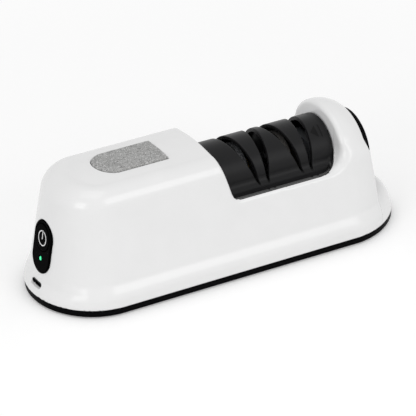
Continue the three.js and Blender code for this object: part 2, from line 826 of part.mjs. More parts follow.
function sharpeningCover() {
  const rim = wallHalf(saddle.height) - saddle.rimWidth - clearance.running;
  const dipZ = brimTop - cover.brimDip;
  const sideZ = axisHeight - (cover.brimFoot - cover.radius) / 2;
  const half = [
    [rim, brimBottom],
    [rim, brimTop],
    [rim - cover.lipWidth, brimTop],
    [rim - 2 * cover.lipWidth, dipZ],
    [cover.brimFoot, dipZ],
    [mix(cover.radius, cover.brimFoot, brimFilletShares.out), mix(dipZ, sideZ, brimFilletShares.up)],
    [cover.radius - cover.wall / 2, sideZ],
  ];
  const section = [...half, ...half.map(([y, z]) => [-y, z]).reverse()];
  const left = -block.wallTop - clearance.overrun;
  const plan = toSolid(alongZ(brimPlan(0), brimBottom - clearance.overrun, axisHeight + clearance.overrun));
  const brim = toSolid(alongX(section, left, coverRight)).intersect(plan);
  const low = Math.asin((dipZ - axisHeight) / cover.radius);
  const barrelSection = [
    [-cover.radius * Math.cos(low), brimBottom],
    [cover.radius * Math.cos(low), brimBottom],
    ...arc(cover.radius, 0, axisHeight, low, Math.PI - low, counts.circle),
  ];
  const barrel = toSolid(alongX(barrelSection, left, coverRight));
  const tab = box(coverRight - cover.endWall, -cover.tabHalf, cover.tabBottom, coverRight,
    cover.tabHalf, axisHeight);
  const wide = shell.halfWidth;
  const keepRight = toSolid(alongY(saddleSpace(clearance.cover, saddle.floor - saddle.height), -wide,
    wide));
  const insideRadius = cover.radius - cover.wall;
  const hollowSection = [
    [-insideRadius, brimBottom - clearance.overrun],
    [insideRadius, brimBottom - clearance.overrun],
    ...arc(insideRadius, 0, axisHeight, 0, Math.PI, counts.smallCircle),
  ];
  const hollow = toSolid(alongX(hollowSection, left, coverRight - cover.endWall));
  const hollowRight = toSolid(alongY(saddleSpace(clearance.cover + cover.wall, -saddle.cornerRound),
    -wide, wide));
  let body = brim.add(barrel).intersect(keepRight).subtract(hollow.intersect(hollowRight)).add(tab);
  const keyLeft = coverRight - cover.endWall - clearance.overrun;
  const keyRight = coverRight + clearance.overrun;
  const keyWay = knob.tongueWidth / 2 + clearance.cover;
  const keySlot = box(keyLeft, -keyWay, cover.tabBottom - clearance.overrun, keyRight, keyWay, knob.height);
  body = body.subtract(rodX(knob.keyRadius, keyLeft, keyRight, 0, knob.height)).subtract(keySlot);
  const dogWay = dog.radius + clearance.cover * 2;
  const dogSlot = box(left, -dogWay, brimBottom - clearance.overrun, dog.wayRight, dogWay, axisHeight);
  body = body.subtract(rodX(dogWay, left, dog.wayRight, 0, axisHeight)).subtract(dogSlot);
  for (const stage of [0, 1]) {
    const shift = stage * slots.stagePitch;
    body = body.subtract(slotCutter(slots.slantedTopX + shift, slots.slantedBottomX + shift,
      slots.slantedSkew));
    body = body.subtract(slotCutter(slots.uprightTopX + shift, slots.uprightBottomX + shift,
      slots.uprightSkew));
  }
  return body;
}

// End knob: a disc with a finger bar, and a spindle whose tongue locks the cover
const knobLeft = tower.endX + clearance.running;

function endKnob() {
  const right = knobLeft + knob.thickness;
  const disc = rodX(knob.radius, knobLeft, right - knob.edge, 0, knob.height, counts.circle);
  const face = rodX(knob.radius - knob.edge, knobLeft, right, 0, knob.height, counts.circle);
  const halfGrip = knob.gripLength / 2;
  const grip = box(right - knob.edge, -knob.gripHalf, knob.height - halfGrip,
    right + knob.gripProud, knob.gripHalf, knob.height + halfGrip);
  const socket = rodX(knob.spindleRadius + clearance.running / 2, knobLeft - clearance.overrun,
    right - knob.edge,
    0, knob.height);
  return disc.add(face).add(grip).subtract(socket);
}

function knobSpindle() {
  const right = knobLeft + knob.thickness - knob.edge - clearance.running / 2;
  const tongueRight = coverRight - clearance.running / 2;
  const tongueLeft = tongueRight - knob.tongueThickness;
  const halfLengthways = knob.tongueLength / 2;
  const tongue = box(tongueLeft, -knob.tongueWidth / 2, knob.height - halfLengthways,
    tongueRight, knob.tongueWidth / 2, knob.height + halfLengthways);
  return rodX(knob.spindleRadius, tongueLeft, right, 0, knob.height).add(tongue);
}

function knobBearingSolid() {
  const top = knob.height + knobBearing.headroom;
  const plate = box(knobBearing.x, -knobBearing.halfWidth, base.floor + clearance.running,
    knobBearing.x + knobBearing.thickness, knobBearing.halfWidth, top);
  const bore = rodX(knob.spindleRadius + clearance.running, knobBearing.x - clearance.overrun,
    knobBearing.x + knobBearing.thickness + clearance.overrun, 0, knob.height);
  return plate.subtract(bore);
}

// A turned piece about the shared axis, from its half profile of [x, radius] points
function turned(profile, steps = counts.smallCircle) {
  const closed = [...profile, profile[0]].reverse().map(([x, r]) => new THREE.Vector2(r, x));
  const geometry = new THREE.LatheGeometry(closed, steps);
  const turn = new THREE.Matrix4().makeBasis(
    new THREE.Vector3(0, 1, 0),
    new THREE.Vector3(1, 0, 0),
    new THREE.Vector3(0, 0, -1),
  );
  return toSolid(geometry.applyMatrix4(turn).translate(0, 0, axisHeight));
}

const wheelBore = spindle.radius + clearance.running;
const halfSpacer = wheel.spacerWidth / 2 + clearance.running;

function leftWheel(shift) {
  return turned([
    [wheel.leftHubX + shift, wheelBore],
    [wheel.middleX - halfSpacer + shift, wheelBore],
    [wheel.middleX - halfSpacer + shift, wheel.backRadius],
    [wheel.leftRimX + wheel.rimThickness + shift, wheel.radius],
    [wheel.leftRimX + shift, wheel.radius],
    [wheel.leftHubX + shift, wheel.hubRadius],
  ], counts.circle);
}

function rightWheel(shift) {
  return turned([
    [wheel.middleX + halfSpacer + shift, wheelBore],
    [wheel.rightHubX + shift, wheelBore],
    [wheel.rightHubX + shift, wheel.hubRadius],
    [wheel.rightRimX + shift, wheel.radius],
    [wheel.rightRimX - wheel.rimThickness + shift, wheel.radius],
    [wheel.middleX + halfSpacer + shift, wheel.backRadius],
  ], counts.circle);
}

function ringX(outer, inner, x0, x1) {
  return turned([[x0, inner], [x1, inner], [x1, outer], [x0, outer]]);
}

// Half of the dog coupling: a plate with two jaws that reach between the other half's jaws
function dogHalf(plateX, jawX, bore, turn) {
  let body = ringX(dog.radius, bore, plateX, plateX + dog.plate);
  for (const side of [0, 1]) {
    const middle = turn + side * Math.PI;
    const spread = (Math.PI / 2) * dog.jawShare * 2;
    const outline = [
      ...arc(dog.radius, 0, axisHeight, middle - spread / 2, middle + spread / 2, counts.cornerSteps),
      ...arc(dog.core, 0, axisHeight, middle + spread / 2, middle - spread / 2, counts.cornerSteps),
    ];
    body = body.add(toSolid(alongX(outline, jawX, jawX + dog.jaw)));
  }
  return body;
}

// Trough under the wheels: it carries both bushes and catches the filings
function wheelCradle() {
  let body = box(cradle.left, -cradle.halfWidth, cradle.floor, cradle.right, cradle.halfWidth,
    cradle.sideTop);
  body = body.subtract(box(cradle.left + cradle.endWall, cradle.wall - cradle.halfWidth,
    cradle.floor + cradle.wall,
    cradle.right - cradle.endWall, cradle.halfWidth - cradle.wall, cradle.sideTop + clearance.overrun));
  for (const x of [cradle.left, cradle.right - cradle.endWall]) {
    body = body.add(box(x, -cradle.endHalf, cradle.floor, x + cradle.endWall, cradle.endHalf,
      cradle.endTop));
    for (const side of [-1, 1]) {
      const y = side * cradle.legOffset;
      body = body.add(box(x, y - cradle.legHalf, base.floor + clearance.running,
        x + cradle.endWall, y + cradle.legHalf, cradle.floor + cradle.wall / 2));
    }
  }
  for (const x of [bush.leftX, bush.rightX]) {
    body = body.subtract(rodX(bush.radius + clearance.running, x - clearance.running,
      x + bush.width + clearance.running, 0, axisHeight));
  }
  return body.subtract(rodX(spindle.radius + clearance.running * 2, cradle.left - clearance.overrun,
    cradle.right + clearance.overrun, 0, axisHeight));
}

// Motor can with its front boss and the bore that takes the shaft
function motorCan() {
  const left = motor.frontX - motor.length;
  const bossRight = motor.frontX + motor.bossLength;
  const journalLeft = motor.frontX - motor.journal;
  const bore = motor.shaftRadius + clearance.running;
  let body = turned([
    [left, 0],
    [journalLeft, 0],
    [journalLeft, bore],
    [bossRight, bore],
    [bossRight, motor.bossRadius],
    [motor.frontX, motor.bossRadius],
    [motor.frontX, motor.radius],
    [left, motor.radius],
  ], counts.circle);
  for (const side of [-1, 1]) {
    body = body.subtract(rodX(motorScrew.radius + clearance.running, motor.frontX - motorScrew.depth,
      motor.frontX + clearance.overrun, 0, axisHeight + side * mount.screwOffset));
  }
  return body;
}

const mountLeft = motor.frontX + clearance.running;
const mountRight = mountLeft + mount.thickness;

function motorMount() {
  let body = box(mountLeft, -mount.halfWidth, base.floor + clearance.running, mountRight,
    mount.halfWidth, mount.top);
  const archHalf = mount.halfWidth - mount.legWidth;
  const corner = mount.halfWidth / 2;
  body = body.intersect(toSolid(alongX([
    [-mount.halfWidth, 0],
    [mount.halfWidth, 0],
    [mount.halfWidth, mount.top - corner],
    [mount.halfWidth - corner, mount.top],
    [corner - mount.halfWidth, mount.top],
    [-mount.halfWidth, mount.top - corner],
  ], mountLeft, mountRight)));
  body = body.subtract(box(mountLeft - clearance.overrun, -archHalf, 0,
    mountRight + clearance.overrun, archHalf,
    mount.archTop));
  body = body.subtract(rodX(motor.bossRadius + clearance.running, mountLeft - clearance.overrun,
    mountRight + clearance.overrun, 0, axisHeight));
  for (const side of [-1, 1]) {
    body = body.subtract(rodX(motorScrew.radius + clearance.running, mountLeft - clearance.overrun,
      mountRight + clearance.overrun, 0, axisHeight + side * mount.screwOffset));
  }
  return body;
}

function motorScrewSolid(side) {
  const z = axisHeight + side * mount.screwOffset;
  const headLeft = mountRight + clearance.running;
  const tip = motor.frontX - motorScrew.depth + clearance.running * 2;
  return rodX(motorScrew.headRadius, headLeft, headLeft + motorScrew.headHeight, 0, z)
    .add(rodX(motorScrew.radius, tip, headLeft + motorScrew.headHeight / 2, 0, z));
}

// Cell lying under the motor, in an open holder on the floor of the base
const holderBottom = base.floor + clearance.running;
const cellZ = holderBottom + holder.wall + clearance.running + battery.radius;

function cellSolid() {
  const right = battery.left + battery.length;
  const can = rodX(battery.radius, battery.left, right - battery.capHeight, 0, cellZ, counts.circle);
  return can.add(rodX(battery.capRadius, battery.left, right, 0, cellZ));
}

function holderSolid() {
  const left = battery.left - clearance.running - holder.endWall;
  const right = battery.left + battery.length + clearance.running + holder.endWall;
  const half = battery.radius + clearance.running + holder.wall;
  const tray = box(left, -half, holderBottom, right, half, holderBottom + holder.sideTop);
  const space = rodX(battery.radius + clearance.running, left + holder.endWall, right - holder.endWall,
    0, cellZ, counts.circle);
  const over = box(left + holder.endWall, -battery.radius - clearance.running, cellZ,
    right - holder.endWall,
    battery.radius + clearance.running, cellZ + battery.radius);
  return tray.subtract(space).subtract(over);
}

// Panel pieces, in the panel's frame
const boardFace = buttonBoard.x;

function controlPanel() {
  const plate = toSolid(alongX(capsule(panel.half, panel.height), 0, panel.thickness + clearance.running));
  const flangeLeft = panel.thickness + clearance.running;
  const flange = toSolid(alongX(
    capsule(panel.half + panel.flange, panel.height + 2 * panel.flange),
    flangeLeft, flangeLeft + panel.flangeThickness));
  const right = flangeLeft + panel.flangeThickness + clearance.overrun;
  const buttonHole = rodX(button.radius + clearance.running, -clearance.overrun, right, 0, button.z);
  const flangeSpace = rodX(button.radius + button.flange + clearance.running,
    button.thickness - clearance.running,
    right, 0, button.z);
  const lensHole = toSolid(alongX(
    capsule(lens.half + clearance.running, lens.height + 2 * clearance.running)
      .map(([y, z]) => [y, z + lens.z]), -clearance.overrun, right));
  let body = plate.add(flange);
  for (const side of [-1, 1]) {
    for (const [y, z] of [[peg.topY, peg.topZ], [peg.lowY, peg.lowZ]]) {
      body = body.add(rodX(peg.radius, flangeLeft, boardFace - clearance.running, side * y, z));
    }
  }
  return body.subtract(buttonHole).subtract(flangeSpace).subtract(lensHole);
}

const buttonBack = button.thickness + panel.flangeThickness;
const switchLeft = boardFace - tactSwitch.depth;
const plungerLeft = switchLeft + plunger.reach - plunger.length;

function powerButton() {
  const cap = rodX(button.radius, -button.proud, buttonBack, 0, button.z, counts.circle);
  const rim = rodX(button.radius + button.flange, buttonBack - button.flangeThickness, buttonBack, 0,
    button.z);
  const stemEnd = plungerLeft - plunger.gap;
  const stem = rodX(button.stem, 0, stemEnd, 0, button.z);
  const inlayLeft = -button.proud - clearance.overrun;
  const inlayRight = symbol.depth + symbol.seat;
  const grow = clearance.running / 2;
  const inlay = symbolRing(grow, inlayLeft, inlayRight).add(symbolBar(grow, inlayLeft, inlayRight));
  return cap.add(rim).add(stem).subtract(inlay);
}

// Ring open at the top, and the bar in its opening
function symbolRing(grow, from, to) {
  const half = symbol.stroke / 2;
  const opening = (symbol.gap + symbol.stroke - grow) / symbol.radius;
  const start = Math.PI / 2 + opening;
  const end = 2.5 * Math.PI - opening;
  return toSolid(alongX([
    ...arc(symbol.radius + half + grow, 0, symbol.z, start, end, counts.smallCircle),
    ...arc(symbol.radius - half - grow, 0, symbol.z, end, start, counts.smallCircle),
  ], from, to));
}

function symbolBar(grow, from, to) {
  const half = symbol.stroke / 2 + grow;
  const top = symbol.z + symbol.radius + symbol.stroke / 2 + half;
  return toSolid(alongX(rectangle(-half, top - symbol.bar - 2 * grow, half, top), from, to));
}

function usbShell() {
  const left = usbMouth;
  const outer = toSolid(alongX(usbOutline(0), left, left + usb.length));
  const inner = toSolid(alongX(usbOutline(-usb.wall), left - clearance.overrun,
    left + usb.length - usb.back));
  return outer.subtract(inner);
}

const boardTop = usb.z - usb.halfHeight - board.gap;
const boardBottom = boardTop - board.thickness;

// An insulated lead along a route of [x, z] points, ending on the main board at its own distance
// from the middle
function leadTube(route, startY, endY) {
  const last = route.length - 1;
  const path = new THREE.CatmullRomCurve3(
    route.map(([x, z], i) => new THREE.Vector3(x, mix(startY, endY, i / last), z)));
  const section = new THREE.Shape(circle(lead.radius, 0, 0, lead.sides).map(([u,
    v]) => new THREE.Vector2(u, v)));
  return toSolid(new THREE.ExtrudeGeometry(section, { steps: lead.steps, bevelEnabled: false,
    extrudePath: path }));
}

// Put the pieces together
addPart('upper_housing', upperHousing(), finishes.whiteShell);
addPart('base_plate', basePlate(), finishes.blackBase);
for (const [name, x, y] of footPlaces) {
  addPart(name, rodZ(foot.radius, -foot.proud, foot.recess - foot.seat, x, y), finishes.rubber);
}
for (const [x, y, , name] of postPlaces) addPart(name, baseScrewSolid(x, y), finishes.steel);
const stoneTop = block.height + stone.proud;
addPart('whetstone', toSolid(alongZ(stonePlan(0), stoneTop - stone.thickness, stoneTop)),
  finishes.abrasive);

addPart('sharpening_cover', sharpeningCover(), finishes.blackSatin);
addPart('end_knob', endKnob(), finishes.blackSatin);
addPart('knob_spindle', knobSpindle(), finishes.grey);
addPart('knob_bearing', knobBearingSolid(), finishes.grey);

addPart('wheel_spindle', rodX(spindle.radius, spindle.left, spindle.right, 0, axisHeight), finishes.steel);
const stages = [['coarse', 0, finishes.diamond], ['fine', slots.stagePitch, finishes.ceramic]];
for (const [stage, shift, finish] of stages) {
  addPart(`${stage}_wheel_left`, leftWheel(shift), finish);
  addPart(`${stage}_wheel_right`, rightWheel(shift), finish);
  const spacerLeft = wheel.middleX - wheel.spacerWidth / 2 + shift;
  addPart(`${stage}_spacer`, ringX(wheel.hubRadius, wheelBore, spacerLeft,
    spacerLeft + wheel.spacerWidth), finishes.brass);
}
for (const [name, x] of [['bush_left', bush.leftX], ['bush_right', bush.rightX]]) {
  addPart(name, ringX(bush.radius, spindle.radius + clearance.running, x, x + bush.width), finishes.brass);
}
addPart('wheel_cradle', wheelCradle(), finishes.grey);

const jawLeft = dog.driveX + dog.plate;
const drivenPlate = jawLeft + dog.jaw + dog.jawGap;
addPart('motor_can', motorCan(), finishes.steel);
addPart('motor_mount', motorMount(), finishes.grey);
addPart('motor_screw_lower', motorScrewSolid(-1), finishes.steel);
addPart('motor_screw_upper', motorScrewSolid(1), finishes.steel);
const shaftLeft = motor.frontX - motor.journal + clearance.running * 2;
addPart('motor_shaft', rodX(motor.shaftRadius, shaftLeft, jawLeft - clearance.running, 0,
  axisHeight), finishes.steel);
addPart('drive_dog', dogHalf(dog.driveX, jawLeft - clearance.running / 2,
  motor.shaftRadius + clearance.running, 0),
  finishes.blackSatin);
addPart('driven_dog', dogHalf(drivenPlate, jawLeft + dog.jawGap + clearance.running / 2,
  spindle.radius + clearance.running,
  Math.PI / 2), finishes.blackSatin);

addPart('battery_cell', cellSolid(), finishes.cellWrap);
addPart('battery_holder', holderSolid(), finishes.grey);
addPart('main_board', box(boardLeft, -board.half, boardBottom, boardRight, board.half, boardTop),
  finishes.board);
addPart('usb_c_shell', usbShell(), finishes.steel);
const tongueLeft = usbMouth + usb.lip;
const tongueRight = usbMouth + usb.length - usb.back - clearance.running / 2;
addPart('usb_c_tongue', box(tongueLeft, -usb.tongueHalf, usb.z - usb.tongueThick / 2, tongueRight,
  usb.tongueHalf,
  usb.z + usb.tongueThick / 2), finishes.blackGloss);

for (const [name, side, finish] of [['red', -1, finishes.redLead], ['black', 1, finishes.blackBase]]) {
  const y = side * lead.spacing / 2;
  addPart(`motor_lead_${name}`, leadTube(motorLeadRoute, y, y), finish);
  addPart(`battery_lead_${name}`, leadTube(cellLeadRoute, y, side * cellLeadSpread / 2 + y / 2), finish);
}

sharpener.add(panelFrame);
addPart('control_panel', controlPanel(), finishes.blackGloss, panelFrame);
addPart('power_button', powerButton(), finishes.blackGloss, panelFrame);
const inlayRight = symbol.depth - symbol.seat;
addPart('power_symbol_ring', symbolRing(0, -button.proud, inlayRight), finishes.symbolWhite, panelFrame);
addPart('power_symbol_bar', symbolBar(0, -button.proud, inlayRight), finishes.symbolWhite, panelFrame);
const lensOutline = capsule(lens.half, lens.height).map(([y, z]) => [y, z + lens.z]);
const ledRight = boardFace - clearance.running / 2;
const lensEnd = ledRight - led.thickness - led.gap;
addPart('status_lens', toSolid(alongX(lensOutline, 0, lensEnd)), finishes.lensGreen, panelFrame);
addPart('status_led', box(ledRight - led.thickness, -led.half, lens.z - led.height / 2, ledRight, led.half,
  lens.z + led.height / 2), finishes.symbolWhite, panelFrame);
const switchBore = rodX(plunger.radius + clearance.running, switchLeft - clearance.overrun,
  switchLeft + 2 * plunger.reach, 0, button.z);
addPart('tact_switch', box(switchLeft, -tactSwitch.half, button.z - tactSwitch.half,
  boardFace - clearance.running / 2, tactSwitch.half, button.z + tactSwitch.half).subtract(switchBore),
finishes.grey, panelFrame);
addPart('switch_plunger', rodX(plunger.radius, plungerLeft, plungerLeft + plunger.length, 0, button.z),
  finishes.symbolWhite, panelFrame);
addPart('button_board', box(boardFace, -buttonBoard.half, -buttonBoard.height / 2,
  boardFace + buttonBoard.thickness,
  buttonBoard.half, buttonBoard.height / 2), finishes.board, panelFrame);

export default sharpener;
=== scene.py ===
"""Looks of the electric knife sharpener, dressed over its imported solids.

Sizes in the piece classes are millimetres. Their heights count from the underside of the base, which
stands on rubber feet a little above the floor of the shared frame.
"""

import json
import logging
import math
from collections.abc import Callable, Sequence
from dataclasses import dataclass, field
from enum import Enum
from itertools import product

import bmesh
import bpy
import numpy as np
from mathutils import Matrix, Vector

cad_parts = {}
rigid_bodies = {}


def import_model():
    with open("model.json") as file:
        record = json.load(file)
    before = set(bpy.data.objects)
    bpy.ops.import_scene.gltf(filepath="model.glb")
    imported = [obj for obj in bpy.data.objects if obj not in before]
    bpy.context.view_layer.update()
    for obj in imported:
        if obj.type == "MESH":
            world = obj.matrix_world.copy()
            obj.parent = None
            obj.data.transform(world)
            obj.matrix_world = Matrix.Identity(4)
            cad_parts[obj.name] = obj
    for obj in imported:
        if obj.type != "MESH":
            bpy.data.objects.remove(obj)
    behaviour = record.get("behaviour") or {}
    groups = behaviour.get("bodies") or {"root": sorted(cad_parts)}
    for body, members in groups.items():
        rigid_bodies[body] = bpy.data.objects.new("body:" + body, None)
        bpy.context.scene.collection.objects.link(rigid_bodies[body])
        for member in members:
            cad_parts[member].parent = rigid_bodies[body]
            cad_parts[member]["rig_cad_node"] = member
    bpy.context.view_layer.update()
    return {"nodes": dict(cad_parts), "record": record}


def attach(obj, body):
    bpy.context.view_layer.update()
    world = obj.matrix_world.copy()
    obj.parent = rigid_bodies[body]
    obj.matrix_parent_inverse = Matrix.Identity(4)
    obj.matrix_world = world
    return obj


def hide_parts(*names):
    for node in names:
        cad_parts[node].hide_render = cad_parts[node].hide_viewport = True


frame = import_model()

MM = 0.001
FOOT_RISE = 0.8
AXIS_HEIGHT = 40.56
KNOB_HEIGHT = 35.3
ON_AXIS = (0.0, AXIS_HEIGHT)
ON_KNOB = (0.0, KNOB_HEIGHT)
WHITE = (1.0, 1.0, 1.0)

# Least values, which keep divisions and powers safe.
TINY = 1e-9
SMALL = 1e-6
FLAT = 1e-4
THIN = 1e-3

Array = np.ndarray
Colour = tuple[float, float, float]
log = logging.getLogger("sharpener")


class Body(Enum):
    """Bodies of the frame that pieces ride on."""

    HOUSING = "housing"
    COVER = "cover"
    KNOB = "lock_knob"
    BUTTON = "button"


class Axis(Enum):
    """Axis of a rod, as its place among x, y and z."""

    X = 0
    Y = 1
    Z = 2


# ---------------------------------------------------------------- shader helpers


class Value:
    """A shader socket that takes part in arithmetic, each step of which adds a Math node."""

    def __init__(self, shader: "Shader", socket: bpy.types.NodeSocket) -> None:
        """Holds an output socket of a material's nodes."""
        self.shader = shader
        self.socket = socket

    def maths(self, operation: str, *others: "Value | float") -> "Value":
        """Result of a Math node with this as its first input and the others after it."""
        sockets = dict(enumerate((self, *others)))
        return self.shader.out("ShaderNodeMath", {"operation": operation}, sockets)

    def __add__(self, other: "Value | float") -> "Value":
        """Sum."""
        return self.maths("ADD", other)

    def __radd__(self, other: float) -> "Value":
        """Sum with a number in front."""
        return self.maths("ADD", other)

    def __sub__(self, other: "Value | float") -> "Value":
        """Difference."""
        return self.maths("SUBTRACT", other)

    def __rsub__(self, other: float) -> "Value":
        """Difference from a number."""
        return (self * -1.0) + other

    def __mul__(self, other: "Value | float") -> "Value":
        """Product."""
        return self.maths("MULTIPLY", other)

    def __rmul__(self, other: float) -> "Value":
        """Product with a number in front."""
        return self.maths("MULTIPLY", other)

    def __truediv__(self, other: "Value | float") -> "Value":
        """Quotient."""
        return self.maths("DIVIDE", other)

    def __pow__(self, other: "Value | float") -> "Value":
        """Power."""
        return self.maths("POWER", other)

    def __abs__(self) -> "Value":
        """Size without sign."""
        return self.maths("ABSOLUTE")

    def above(self, limit: "Value | float") -> "Value":
        """1 where this is above the limit, and 0 elsewhere."""
        return self.maths("GREATER_THAN", limit)

    def below(self, limit: "Value | float") -> "Value":
        """1 where this is below the limit, and 0 elsewhere."""
        return self.maths("LESS_THAN", limit)

    def ramp(self, low: float, high: float) -> "Value":
        """A smooth step.

        Args:
            low: Value that gives 0.
            high: Value that gives 1.

        Returns:
            The step.
        """
        settings = {"interpolation_type": "SMOOTHSTEP"}
        sockets = {"Value": self, "From Min": low, "From Max": high}
        return self.shader.out("ShaderNodeMapRange", settings, sockets)


Input = Value | float | tuple


class Shader:
    """The nodes of one material, or of the surroundings, written as expressions."""

    def __init__(self, owner: bpy.types.Material | bpy.types.World) -> None:
        """Empties the owner's nodes.

        Args:
            owner: The material or the surroundings.
        """
        owner.use_nodes = True
        self.owner = owner
        self.tree = owner.node_tree
        self.tree.nodes.clear()

    def node(
        self, kind: str, settings: dict[str, object], sockets: dict[int | str, Input]
    ) -> bpy.types.Node:
        """Adds a node.

        Args:
            kind: The node's type.
            settings: Its own settings.
            sockets: Values or links of its inputs, by name or number.

        Returns:
            The node.
        """
        made = self.tree.nodes.new(kind)
        for name, value in settings.items():
            setattr(made, name, value)
        for name, value in sockets.items():
            if isinstance(value, Value):
                self.tree.links.new(value.socket, made.inputs[name])
            elif isinstance(value, tuple) and len(value) < len(made.inputs[name].default_value):
                made.inputs[name].default_value = (*value, 1.0)
            else:
                made.inputs[name].default_value = value
        return made

    def out(
        self, kind: str, settings: dict[str, object], sockets: dict[int | str, Input], name: int | str = 0
    ) -> Value:
        """Adds a node and gives the output with that name or number."""
        return Value(self, self.node(kind, settings, sockets).outputs[name])

    def place(self) -> Value:
        """Point on the piece in the shared frame, in metres, which moves with the piece."""
        return self.out("ShaderNodeTexCoord", {}, {}, "Object")

    def parts(self, vector: Value) -> tuple[Value, Value, Value]:
        """The three numbers of a vector."""
        made = self.node("ShaderNodeSeparateXYZ", {}, {0: vector})
        return tuple(Value(self, socket) for socket in made.outputs)

    def scaled(self, vector: Value, by: tuple[float, float, float]) -> Value:
        """A vector scaled along each axis."""
        return self.out("ShaderNodeVectorMath", {"operation": "MULTIPLY"}, {0: vector, 1: by})

    def noise(self, size: float, detail: float = 2.0, place: Value | None = None) -> Value:
        """Smooth noise from 0 to 1, with blotches of that size in millimetres."""
        sockets = {"Vector": place or self.place(), "Scale": 1 / (size * MM), "Detail": detail}
        return self.out("ShaderNodeTexNoise", {}, sockets)

    def grains(self, size: float, output: str = "Distance") -> Value:
        """Distance to the middle of cells of that size in millimetres, or their Color."""
        sockets = {"Vector": self.place(), "Scale": 1 / (size * MM)}
        return self.out("ShaderNodeTexVoronoi", {}, sockets, output)

    def mixed(self, share: Input, first: Input, second: Input) -> Value:
        """A colour between two: the first at a share of 0 and the second at 1."""
        return self.out("ShaderNodeMix", {"data_type": "RGBA"}, {0: share, 6: first, 7: second}, 2)

    def bump(self, height: Value, depth: float) -> Value:
        """A normal that follows a height, of which 1 stands for a depth in millimetres."""
        sockets = {"Height": height, "Strength": 1.0, "Distance": depth * MM}
        return self.out("ShaderNodeBump", {}, sockets)

    def finish(self, sockets: dict[str, Input]) -> bpy.types.Material:
        """Closes the material with its surface shader.

        Args:
            sockets: Values or links of the surface shader.

        Returns:
            The material.
        """
        surface = self.out("ShaderNodeBsdfPrincipled", {}, sockets)
        self.node("ShaderNodeOutputMaterial", {}, {"Surface": surface})
        return self.owner

    def backdrop_rays(self) -> Value:
        """Tells the camera's own rays from light.

        Returns:
            1 for the camera's rays and those that metal and glass send on, and 0 for light.
        """
        kinds = ("Is Camera Ray", "Is Glossy Ray", "Is Transmission Ray")
        camera, glossy, through = (self.out("ShaderNodeLightPath", {}, {}, kind) for kind in kinds)
        return camera.maths("MAXIMUM", glossy).maths("MAXIMUM", through)


def tint(code: str) -> Colour:
    """Linear colour of a hex code such as c0c0c0."""
    shares = [int(code[i : i + 2], 16) / 255 for i in (0, 2, 4)]
    return tuple(c / 12.92 if c <= 0.04045 else ((c + 0.055) / 1.055) ** 2.4 for c in shares)


def lighter(colour: Colour, by: float) -> Colour:
    """The colour times a number, held below 1."""
    return tuple(min(c * by, 1.0) for c in colour)


# ---------------------------------------------------------------- finishes


@dataclass(frozen=True)
class Plastic:
    """Moulded plastic with a faint mottle in its gloss and a fine moulded grain."""

    slot: str
    colour: Colour
    roughness: float
    gloss_change: float = 0.04
    cloud: float = 14.0
    mottle: float = 0.025
    grain: float = 0.5
    grain_depth: float = 0.004
    coat: float = 0.0
    coat_roughness: float = 0.06
    mirror: float = 0.5

    def mottled(self, cloud: Value) -> Value:
        """The colour, a little darker and lighter from place to place."""
        dark, pale = lighter(self.colour, 1 - self.mottle), lighter(self.colour, 1 + self.mottle)
        return cloud.shader.mixed(cloud, dark, pale)

    def material(self) -> bpy.types.Material:
        """Builds the material.

        Returns:
            The material.
        """
        shader = Shader(bpy.data.materials.new(self.slot))
        cloud = shader.noise(self.cloud, 3.0)
        fine = shader.noise(self.grain)
        return shader.finish({
            "Base Color": self.mottled(cloud),
            "Roughness": (cloud - 0.5) * self.gloss_change + self.roughness,
            "Specular IOR Level": self.mirror,
            "Coat Weight": self.coat,
            "Coat Roughness": self.coat_roughness,
            "Normal": shader.bump(fine, self.grain_depth),
        })


